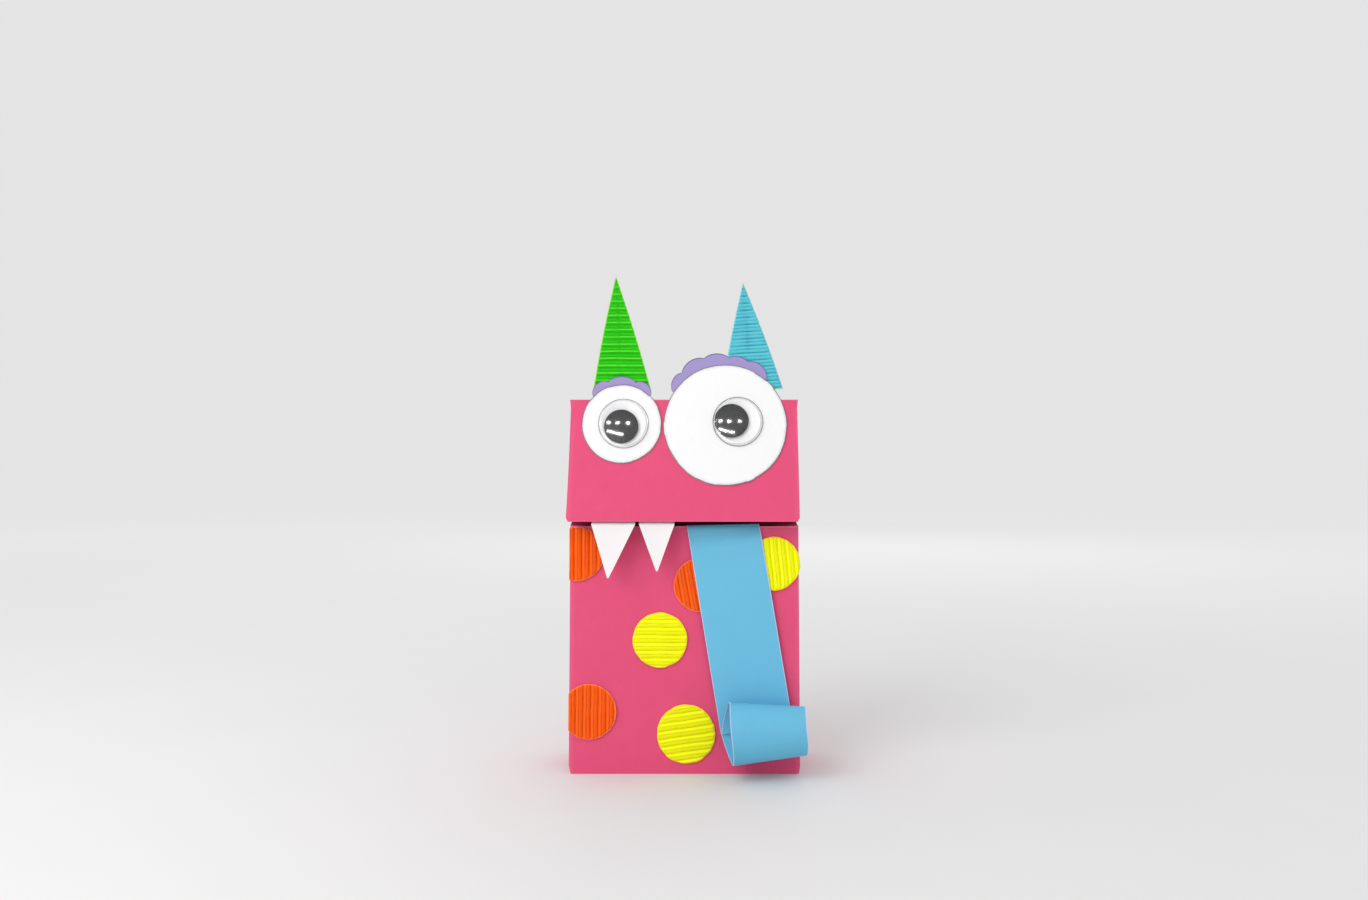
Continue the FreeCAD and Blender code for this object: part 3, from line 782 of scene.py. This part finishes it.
def cut_piece(plane, outline, heart, rings, low, high, relief, rim_width):
    """A flat piece cut to an outline, as a closed solid: its face is nested rings of the outline.

    relief(place, depth) gives the face's extra height and its painted flute light-and-shade value,
    where depth is how far the place is inside the edge. The rim is rim_width wide and gets the
    wear-and-painted-edge value: wear on the card pieces, a painted shadow line on the white discs."""
    shape = Shape()
    heart = Vector(heart)
    spokes = [point - heart for point in outline]

    def top_at(share, spoke):
        place = heart + spoke * share
        depth = (1 - share) * spoke.length * 0.9
        height, flute_light_and_shade = relief(place, depth)
        wear_and_painted_edge = clamp(1 - (depth - rim_width) / WEAR_FADE)
        return plane.at(*place, high + height), wear_and_painted_edge, flute_light_and_shade

    face = [[top_at(share, spoke) for spoke in spokes] for share in rings]
    ends = (rings[0], rings[-1])
    under = [[(plane.at(*(heart + spoke * share), low),) for spoke in spokes] for share in ends]
    tops = shape.grid(face, closed=True, flip=True)
    bases = shape.grid(under, closed=True)
    height, flute_light_and_shade = relief(heart, FAR_INSIDE)
    middle = shape.point(plane.at(*heart, high + height), 0.0, flute_light_and_shade)
    base = shape.point(plane.at(*heart, low))
    top, foot = tops[-1], bases[-1]
    for number in range(len(outline)):
        following = (number + 1) % len(outline)
        shape.face((top[number], foot[number], foot[following], top[following]))
        shape.face((middle, tops[0][number], tops[0][following]))
        shape.face((base, bases[0][following], bases[0][number]))
    return shape


def ring_shares(size, spacing, rim):
    """Shares of the outline for nested rings: fine at the rim, then evenly spaced to the heart."""
    shares = [1.0, 1 - 0.06 / size, 1 - rim / size, 1 - (rim + 0.1) / size]
    count = max(int((size - rim) / spacing), 2)
    first = shares[-1]
    shares += [first * (1 - part) for part in steps(count)[1:-1]]
    return sorted(shares)


FLUTE_PITCH = 3.3
FLUTE_RISE = 0.95
RIM_PRESS = 0.7


def wide_flute(crest):
    """Height and painted light and shade across a rounded flute: crest is 1 on its top and 0 in a
    valley; the shade value is darker in the valley and at the crest's fold, and lighter on the
    flanks.
    """
    line = smooth((0.36 - crest) / 0.36)
    fold = smooth((crest - 0.93) / 0.07)
    shoulder = 0.3 * smooth((crest - 0.35) / 0.2) * (1 - smooth((crest - 0.6) / 0.2))
    return crest**0.7 - 0.2 * fold, line + 0.8 * fold - shoulder


def sharp_flute(crest):
    """The same for a flute with a narrow ridge between wide valleys: the ridge gets a painted
    highlight and a band between gets painted shade.
    """
    line = smooth((crest - 0.95) / 0.035)
    band = 0.75 * smooth((crest - 0.25) / 0.3) * (1 - smooth((crest - 0.84) / 0.1))
    return crest**1.8, band - line


def flutes(direction, phase, profile):
    """The face of corrugated card, pressed flatter at its cut rim, with painted light and shade
    across the flutes that fades out towards the rim.
    """
    angle = radians(direction)

    def relief(place, depth):
        over = -place.x * sin(angle) + place.y * cos(angle)
        over += 0.2 * patchy(place, 9, phase + 0.5)
        crest = abs(cos(pi * (over / FLUTE_PITCH + phase)))
        wave, tone = profile(crest)
        near = smooth(depth / RIM_PRESS)
        height = FLUTE_RISE * wave * lerp(0.45, 1.0, near) - FLUTE_RISE
        height += 0.05 * patchy(place, 3, phase + 5)
        return height, tone * near * (0.8 + 0.4 * patchy(place, 5, phase + 9))

    return relief


def flat_face(amount=0.0, seed=0.0):
    """The face of flat card, slightly rounded off at its rim."""

    def relief(place, depth):
        soften = 0.05 * (1 - smooth(depth / 0.25))
        return amount * patchy(place, 12, seed) - soften, 0.0

    return relief


def card_layers(name, hue, body, ply, liner):
    """The fluted ply and the backing sheet of one corrugated piece."""
    for shape, layer, crease, node in ((ply, "ply", 50, "flutes"), (liner, "liner", 40, "backing")):
        piece = shape.make(f"{name}_{layer}", [CARDS[hue]], crease=crease)
        belong(piece, body, f"{hue}_corrugated", f"{name}_{node}")


# The direction in which each dot's flutes run, in degrees from across.
DOTS = {
    "orange_upper_left": 90.0, "orange_centre": 100.0, "orange_lower_left": 90.0,
    "yellow_upper_right": 95.0, "yellow_middle": 0.0, "yellow_lower": 8.0,
}
LINER = 0.3
FLUTE_TOP = 1.5
DOT_RIM = 0.28
LINER_RIM = 0.2
LINER_RINGS = [0.05, 0.5, 0.97]
RING_RIM = 0.5


def dots():
    """Corrugated dots on the front panel. Any that pass the bag's left edge are cut flush."""
    for number, (name, direction) in enumerate(DOTS.items()):
        low, high = box_mm(f"dot_{name}_backing")
        radius = (high.z - low.z) / (2 * FRONT.up.z)
        middle = Vector((0, (low.y + high.y) / 2, (low.z + high.z) / 2)) - FRONT_FOOT
        centre = (high.x - radius, middle.dot(FRONT.up))
        outline = cut_circle(centre, radius, 11 + number, 19, 0.6)
        for point in outline:
            point.x = max(point.x, -HALF_WIDTH + 0.05)
        heart = (max(centre[0], -HALF_WIDTH + 5), centre[1])
        rings = ring_shares(radius, 0.3, RING_RIM)
        face = flutes(direction, 0.13 * number, wide_flute)
        ply = cut_piece(FRONT, outline, heart, rings, LINER, FLUTE_TOP, face, DOT_RIM)
        rings = [*LINER_RINGS, 0.992]
        liner = cut_piece(FRONT, outline, heart, rings, GLUE_GAP, LINER, flat_face(), LINER_RIM)
        card_layers(f"dot_{name}", name.split("_")[0], "bag", ply, liner)


HORNS = {
    "left": {"base": (-27.3, 56.9), "width": 26.0, "height": 54.4, "tilt": 3.5},
    "right": {"base": (30.0, 58.0), "width": 27.4, "height": 50.2, "tilt": 4.1},
}
HORN_CARDS = {"left": ("green", 0.0, sharp_flute), "right": ("blue", 4.1, wide_flute)}
HORN_BELLY = 0.55
HORN_RIM = 0.42
HORN_FADE = 0.15
HORN_BACK = -1.8
HORN_LINER = -1.5
HORN_TOP = -0.36


def horn_outline(base, width, height, tilt):
    """A tall triangle whose two long sides swell a little, as (across, up) points."""
    angle = radians(tilt)
    corners = []
    for across, up in ((-width / 2, 0), (width / 2, 0), (0, height)):
        corners.append(Vector(polar(polar(base, across, angle), up, angle + pi / 2)))
    points = []
    for number, corner in enumerate(corners):
        end = corners[(number + 1) % 3]
        side = (end - corner).normalized()
        normal = Vector((side.y, -side.x))
        belly = HORN_BELLY if number else 0.0
        for part in steps(8)[:-1]:
            points.append(lerp(corner, end, part) + normal * (belly * hump(part)))
    return points


def horns():
    """Two tall corrugated triangles glued behind the eyes and brows."""
    for number, (name, size) in enumerate(HORNS.items()):
        hue, direction, profile = HORN_CARDS[name]
        edges = horn_outline(**size)
        outline = []
        for corner, following in zip(edges, edges[1:] + edges[:1]):
            pieces = max(int((following - corner).length / 0.4), 1)
            outline += [lerp(corner, following, part) for part in steps(pieces)[:-1]]
        heart = sum(edges[::8], Vector((0, 0))) / 3
        rings = ring_shares(14.0, 0.24, RING_RIM)
        face = flutes(direction, 0.4 * number, profile)

        def relief(place, depth, face=face, edges=edges):
            return face(place, edge_distance(place, edges))

        ply = cut_piece(HEAD, outline, heart, rings, HORN_LINER, HORN_TOP, relief, 0.0)
        horn_wear(ply, edges)
        layer = (HORN_BACK, HORN_LINER, flat_face(), LINER_RIM)
        liner = cut_piece(HEAD, outline, heart, [*LINER_RINGS, 0.995], *layer)
        card_layers(f"horn_{name}", hue, "head", ply, liner)


def horn_wear(shape, edges):
    """Wear along a horn's cut edges, by each point's true distance from them."""
    for number, point in enumerate(shape.points):
        local = point / MM - HEAD.foot
        distance = edge_distance(Vector((local.x, local.dot(HEAD.up))), edges)
        shape.wear_and_painted_edge[number] = clamp((HORN_RIM - distance) / HORN_FADE)


# Each brow runs round its disc between these angles: where one lobe ends and the next
# begins, with the radius there, and the radius at the top of each lobe.
BROWS = {
    "small": {
        "notches": [(135.5, 17.9), (108.0, 19.8), (72.0, 19.5), (45.0, 17.9)],
        "tops": [21.2, 21.4, 21.0],
        "inner": 15.5,
    },
    "large": {
        "notches": [
            (147.0, 27.6), (129.0, 30.1), (107.0, 31.3), (87.0, 30.5), (70.0, 30.2), (49.0, 27.8)
        ],
        "tops": [30.9, 32.8, 32.6, 31.6, 31.4],
        "inner": 25.0,
    },
}
BROW_PAPER = 0.28
# Round a brow's edge-on shape: share of the way from its inner line to its lobes, height, and the
# wear-and-painted-edge value, which paints a shadow line along the lobes' edge.
BROW_LOOP = [
    (0.0, -BROW_PAPER, 0.0), (1.0, -BROW_PAPER, 0.0), (1.0, -0.05, 1.0), (1.0, 0.0, 1.0),
    (0.995, 0.0, 1.0), (0.96, 0.0, 0.9), (0.93, 0.0, 0.0), (0.5, 0.02, 0.0), (0.0, 0.0, 0.0),
    (0.0, -BROW_PAPER, 0.0),
]


def lobe_radius(angle, notches, tops):
    """How far a scalloped edge is from the middle of the disc in this direction."""
    for (start, low), (end, high), top in zip(notches, notches[1:], tops):
        if angle >= end:
            part = (start - angle) / (start - end)
            return lerp(low, high, part) + (top - (low + high) / 2) * hump(part) ** 0.65
    return notches[-1][1]


def brows():
    """Two scalloped purple brows that show above the eye discs."""
    for size, look in BROWS.items():
        centre, _ = disc_place(f"eye_disc_{size}")
        notches, tops = look["notches"], look["tops"]
        first, last = notches[0][0], notches[-1][0]
        angles = [lerp(first, last, part) for part in steps(220)]
        rows = []
        for share, out, wear_and_painted_edge in BROW_LOOP:
            row = []
            for angle in angles:
                reach = lerp(look["inner"], lobe_radius(angle, notches, tops), share)
                place = HEAD.at(*polar(centre, reach, radians(angle)), out - 0.02)
                row.append((place, wear_and_painted_edge))
            rows.append(row)
        shape = Shape()
        numbers = shape.grid(rows)
        for end in (0, -1):
            rim = [row[end] for row in numbers[:-1]]
            shape.face(rim if end else rim[::-1])
        piece = shape.make(f"brow_{size}_paper", [PURPLE])
        belong(piece, "head", "purple_paper", f"brow_{size}")


def disc_place(node):
    """The centre, across and up the flap, and the radius of a round node that lies on it."""
    low, high = box_mm(node)
    middle = (low + high) / 2 - HEAD.foot
    return (middle.x, middle.dot(HEAD.up)), (high.x - low.x) / 2


DISC_TOP = 0.5
# How wide the painted shadow line round each disc's edge is.
DISC_RIM = 0.27


def eye_discs():
    """Two white card discs, cut by hand, with a painted shadow line round each edge."""
    for number, size in enumerate(("small", "large")):
        centre, radius = disc_place(f"eye_disc_{size}")
        outline = cut_circle(centre, radius, 31 + number, 30, 0.15)
        rings = ring_shares(radius, 1.1, 0.3)
        face = flat_face(0.06, 2.3 + number)
        shape = cut_piece(HEAD, outline, centre, rings, GLUE_GAP, DISC_TOP, face, DISC_RIM)
        piece = shape.make(f"eye_disc_{size}_card", [WHITE_CARD])
        belong(piece, "head", "white_card", f"eye_disc_{size}")


# ---- wiggle eyes


EYE_FOOT = 0.5
DOME_HEIGHT = 4.8
DOME_WALL = 0.3
BRIM = 0.45
BRIM_BEVEL = 0.12
SHOULDER_INSET = 0.9
SHOULDER_ROUND = 0.55
SHOULDER_RISE = 1.9
BACK_INSET = 1.15
PUPIL_FOOT = 1.3
AROUND = 128
# The first five bands of a dome's profile, its brim, have the grey-tinted clear material, whose
# tint is painted shade that draws the brim as a dark ring.
BRIM_FACES = 5 * AROUND


def lathe(centre, base, profile):
    """A round piece on the flap, from a profile of (radius, height)."""
    rows = []
    for radius, height in profile:
        places = [polar(centre, radius, TURN * part) for part in steps(AROUND)[:-1]]
        rows.append([(HEAD.at(*place, base + height), 0.0) for place in places])
    shape = Shape()
    shape.grid(rows, closed=True)
    return shape


def dome_profile(radius):
    """A clear dome: a flat brim, a rounded shoulder, a shallow crown, and the same inside."""
    crown = []
    shoulder = radius - SHOULDER_INSET
    for part in steps(8):
        angle = radians(90 * part)
        crown.append(polar((shoulder, SHOULDER_RISE), SHOULDER_ROUND, angle))
    top = SHOULDER_RISE + SHOULDER_ROUND
    sphere = (shoulder**2 + (DOME_HEIGHT - top) ** 2) / (2 * (DOME_HEIGHT - top))
    sweep = asin(shoulder / sphere)
    for part in steps(32)[1:]:
        angle = sweep * (1 - part)
        crown.append((sphere * sin(angle), DOME_HEIGHT - sphere + sphere * cos(angle)))
    outer = [(radius - BRIM_BEVEL, 0.0), (radius, 0.1), (radius, BRIM - 0.1)]
    outer += [(radius - BRIM_BEVEL, BRIM), (shoulder + 0.75, BRIM), (shoulder + 0.58, BRIM + 0.12)]
    inner = [(max(r - DOME_WALL, 0.0), max(h - DOME_WALL, BRIM * 0.5)) for r, h in crown]
    inner_foot = [(shoulder + SHOULDER_ROUND - DOME_WALL, 0.0)]
    return outer + crown[:-1] + [(0.0, DOME_HEIGHT)] + inner[::-1] + inner_foot + outer[:1]


def back_profile_of(radius):
    """A flat white plate with a low raised rim."""
    profile = [(0.0, 0.0), (radius, 0.0), (radius, 0.35), (radius - 0.1, BRIM)]
    return profile + [(radius - 0.35, BRIM), (radius - 0.55, 0.32), (0.0, 0.32)]


def pupil_profile(radius):
    """A black disc with rounded edges."""
    profile = [(0.0, 0.0), (radius - 0.2, 0.0), (radius, 0.2), (radius, 0.5)]
    return profile + [(radius - 0.12, 0.68), (radius - 0.35, 0.78), (radius * 0.5, 0.8), (0.0, 0.8)]


def wiggle_eyes():
    """Each eye's white back, loose pupil and clear dome."""
    for size, rim in (("small", CLEAR_RIM_LIGHTLY_SHADED), ("large", CLEAR_RIM_SHADED)):
        centre, radius = disc_place(f"wiggle_dome_{size}")
        dome = lathe(centre, EYE_FOOT, dome_profile(radius))
        dome.slots[:BRIM_FACES] = [1] * BRIM_FACES
        piece = dome.make(f"wiggle_dome_{size}_clear", [CLEAR, rim], crease=60)
        belong(piece, "head", "clear_dome", f"wiggle_dome_{size}")

        back = lathe(centre, EYE_FOOT + GLUE_GAP, back_profile_of(radius - BACK_INSET))
        piece = back.make(f"wiggle_back_{size}_plate", [WHITE_PLASTIC])
        belong(piece, "head", "white_backing", f"wiggle_back_{size}")

        centre, radius = disc_place(f"pupil_{size}")
        pupil = lathe(centre, PUPIL_FOOT, pupil_profile(radius))
        piece = pupil.make(f"pupil_{size}_disc", [BLACK_PLASTIC])
        belong(piece, f"pupil_{size}", "black_pupil", f"pupil_{size}")


# ---- teeth


# Each tooth's two sides, its tip across and up, and how far the tip curls out.
TEETH = {
    "left": ((-39.9, -21.0), (-32.4, -23.7), 0.55),
    "right": ((-19.4, -4.1), (-11.6, -20.7), 0.385),
}
TOOTH_DEPTH = 1.15
TOOTH_TAB = (3.2, 1.8, 0.8)
TOOTH_BEND = -0.75
TOOTH_TOP = -0.95
TIP_HALF_WIDTH = 0.45
TOOTH_CUP = 0.25


def teeth():
    """White card teeth: a tab glued under the mouth's roof, bent down to a hanging point."""
    roof = MOUTH_FOLD - HEAD.foot
    back_way = Vector((0, roof.y, roof.z)).normalized()
    for name, ((left, right), (tip_x, tip_up), curl) in TEETH.items():
        rows = []
        for reach in TOOTH_TAB:
            place = HEAD.at(0, TOOTH_BEND, -TOOTH_DEPTH) + back_way * reach + Vector((0, 0, -0.1))
            rows.append([(place + ACROSS * lerp(left, right, part), 0.0) for part in steps(14)])
        for down in steps(24):
            up = lerp(TOOTH_TOP, tip_up, down)
            shrink = (up - TOOTH_TOP) / (tip_up - TOOTH_TOP)
            low = lerp(left, tip_x - TIP_HALF_WIDTH, shrink)
            high = lerp(right, tip_x + TIP_HALF_WIDTH, shrink)
            row = []
            for part in steps(14):
                out = curl * shrink**2 - TOOTH_CUP * hump(part) * (1 - shrink) - TOOTH_DEPTH
                row.append((HEAD.at(lerp(low, high, part), up, out), 0.0))
            rows.append(row)
        point_row = []
        for part, (place, _) in zip(steps(14), rows[-1]):
            dip = 0.4 * sqrt(max(1 - (2 * part - 1) ** 2, 0.0))
            point_row.append((place - HEAD.up * dip, 0.0))
        rows.append(point_row)
        shape = Shape()
        shape.grid(rows, flip=True)
        piece = shape.make(f"tooth_{name}_card", [TOOTH_CARD, CARD_EDGE], 0.3)
        bend(piece, "white_card", f"tooth_{name}")


# ---- tongue

STEP_OUT = 1.56
STEP_LENGTH = 6.0
ROLL = {"centre": (83.6, 87.8), "half_height": (13.1, 10.0), "half_depth": (9.9, 8.2)}
ROLL_DRIFT = [(0.0, 0.0), (90.0, 2.8), (180.0, 4.1), (262.0, 5.7), (300.0, 4.6), (368.0, 0.35)]
ROLL_END = 368.0
TIGHTEN = 0.09
TIGHTEN_FROM = 170


def drift_at(angle):
    """How far across the roll has wandered once it has turned this far."""
    for (start, low), (end, high) in zip(ROLL_DRIFT, ROLL_DRIFT[1:]):
        if angle <= end:
            part = (angle - start) / (end - start)
            return lerp(low, high, (smooth(part) + part) / 2)
    return ROLL_DRIFT[-1][1]


def roll_place(share, angle):
    """A place on the roll: share runs across the tongue and angle round the roll."""
    centre = lerp(*ROLL["centre"], share)
    high = lerp(*ROLL["half_height"], share)
    deep = lerp(*ROLL["half_depth"], share)
    turn = radians(angle)
    tight = 1 - TIGHTEN * smooth((angle - TIGHTEN_FROM) / (ROLL_END - TIGHTEN_FROM))
    down = centre + high * tight * sin(turn)
    out = STEP_OUT + deep - deep * tight * cos(turn)
    return TONGUE.at(share * TONGUE_WIDTH + drift_at(angle), -down, out)


# The tongue's top: how far behind the front panel's face, then its height over the lip as a
# share of the loft and a drop. The loft grows from the left side to the right.
TONGUE_TOP = [
    (8.5, 0.1, 0.75), (6.5, 0.2, 0.45), (4.5, 0.45, 0.2), (2.8, 0.7, 0.05),
    (1.4, 0.9, 0.0), (0.6, 1.0, 0.0), (0.0, 1.0, 0.05), (-0.32, 0.9, 0.3),
]
TOP_SIDES = (1.25, 32.75)
TONGUE_LOFT = (0.36, 1.0)
TONGUE_REST = 0.42
STRIP_END = min(ROLL["centre"]) - 2
CUT_EDGE = 0.008


def top_place(share, reach, loft_share, drop):
    """A place on the glued top and over the lip."""
    height = LIP.z + lerp(*TONGUE_LOFT, share) * loft_share - drop
    return Vector((lerp(*TOP_SIDES, share), LIP.y + reach, height))


def strip_place(share, part):
    """A place on the strip down the front: part runs from the lip to the roll."""
    top = TONGUE.foot.z + tongue_across.z * TONGUE_WIDTH * share - LIP.z
    start = top / TONGUE.up.z + 1.0
    end = STRIP_END + (ROLL["centre"][1] - ROLL["centre"][0]) * share
    down = lerp(start, end, part**1.15)
    out = lerp(TONGUE_REST, STEP_OUT, smooth(down / STEP_LENGTH))
    wave = 0.12 * noise.noise(Vector((share * 1.3, down / 30, 31.4))) * smooth(down / 12)
    return TONGUE.at(share * TONGUE_WIDTH, -down, out + wave)


def tongue():
    """One strip of paper: glued in the mouth, over the lip, down the front and rolled up."""
    worn_and_painted_edge = [0.0, CUT_EDGE, 1.6 * CUT_EDGE]
    shares = worn_and_painted_edge + steps(26)[1:-1] + [1 - share for share in reversed(worn_and_painted_edge)]
    wears = [1.0, 1.0, *[0.0] * (len(shares) - 4), 1.0, 1.0]
    lines = [[top_place(share, *top) for share in shares] for top in TONGUE_TOP]
    lines += [[strip_place(share, part) for share in shares] for part in steps(44)]
    lines += [[roll_place(share, ROLL_END * part) for share in shares] for part in steps(84)]
    rows = [list(zip(line, wears)) for line in lines]
    shape = Shape()
    shape.grid(rows, flip=True)
    piece = shape.make("tongue_paper", [BLUE, BLUE_EDGE], 0.26)
    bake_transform(piece)
    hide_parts("tongue_tab", "tongue_strip", "tongue_curl")


# ---- what stays as the CAD made it


def dress_tabs():
    """The two glued tabs behind the flap keep their CAD shape."""
    for node in ("bottom_tab_upper", "bottom_tab_lower"):
        materials = frame["nodes"][node].data.materials
        materials.clear()
        materials.append(PINK)


# ---- camera, floor and light

AIM = Vector((0, 0, 0.1395))
CAMERA_DISTANCE = 0.4687
EYE_LEVEL = Vector((0, -0.011, 0.151))
WHITE = (1.0, 1.0, 1.0, 1)
FLOOR_HALF = 6.0
FLOOR_FADE = (0.1, 1.6)
WORLD_STRENGTH = 0.78
LAMP_AZIMUTHS = (-39, -17.5, 7.5)


def camera():
    view = bpy.data.cameras.new("camera")
    view.lens = 27.6
    view.sensor_width = 36
    view.clip_start = 0.01
    view.dof.use_dof = False
    thing = add_object("camera", view)
    thing.location = AIM - Vector((0, CAMERA_DISTANCE, 0))
    thing.rotation_euler = (radians(90), 0, 0)
    bpy.context.scene.camera = thing


def floor():
    """A matt white floor that gets paler with distance: the paler far floor is painted light that
    makes up for the lamps falling off, so it meets the white sky without a line.
    """
    mesh = bpy.data.meshes.new("floor")
    signs = ((-1, -1), (1, -1), (1, 1), (-1, 1))
    mesh.from_pydata([(x * FLOOR_HALF, y * FLOOR_HALF, 0) for x, y in signs], [], [(0, 1, 2, 3)])
    nodes = Nodes("floor")
    reach = nodes.new("VectorMath", {0: nodes.place}, operation="LENGTH").outputs["Value"]
    near = nodes.mix(nodes.noise(90), (0.76, 0.76, 0.765, 1), (0.79, 0.79, 0.795, 1))
    tone = nodes.mix(nodes.ramp(reach, 0.0, 1.0, *FLOOR_FADE), near, WHITE)
    mesh.materials.append(nodes.principled(tone, 0.8, 0.0))
    thing = add_object("floor", mesh)


def area_light(name, place, target, width, height, power, roll=0.0, mirrored=False):
    """A soft light, or one that shows only as its mirror image in shiny plastic."""
    light = bpy.data.lights.new(name, "AREA")
    light.shape = "RECTANGLE"
    light.size = width
    light.size_y = height
    light.energy = power
    thing = add_object(name, light)
    thing.location = place
    turn = (Vector(target) - Vector(place)).to_track_quat("-Z", "Y")
    thing.rotation_euler = turn.to_euler()
    thing.rotation_euler.rotate_axis("Z", radians(roll))
    thing.visible_glossy = mirrored
    thing.visible_diffuse = not mirrored


def from_eyes(azimuth, elevation, distance):
    """A place seen from the eyes in this direction: azimuth 0 is straight out of the face."""
    side = radians(azimuth)
    rise = radians(elevation)
    level = Vector((sin(side), -cos(side), 0)) * cos(rise)
    return EYE_LEVEL + (level + Vector((0, 0, sin(rise)))) * distance


def lights():
    area_light("key", (-0.45, -0.5, 0.55), (0, 0, 0.1), 0.5, 0.5, 2.7)
    area_light("back", (0.2, 1.0, 0.8), (0, 0, 0.12), 0.9, 0.9, 1.6)
    for number, azimuth in enumerate(LAMP_AZIMUTHS):
        place = from_eyes(azimuth, 19, 1.2)
        area_light(f"lamp_{number}", place, EYE_LEVEL, 0.17, 0.13, 2.1, mirrored=True)
    place = from_eyes(-23, -3.0, 0.9)
    area_light("strip", place, EYE_LEVEL, 0.62, 0.08, 4.4, roll=-14, mirrored=True)
    world = bpy.data.worlds.new("world")
    world.use_nodes = True
    background = world.node_tree.nodes["Background"]
    background.inputs["Color"].default_value = WHITE
    background.inputs["Strength"].default_value = WORLD_STRENGTH
    bpy.context.scene.world = world


bpy.context.scene.view_settings.view_transform = "Standard"
camera()
floor()
lights()
bag_front()
bag_back()
back_seam()
dots()
horns()
brows()
eye_discs()
wiggle_eyes()
teeth()
tongue()
dress_tabs()
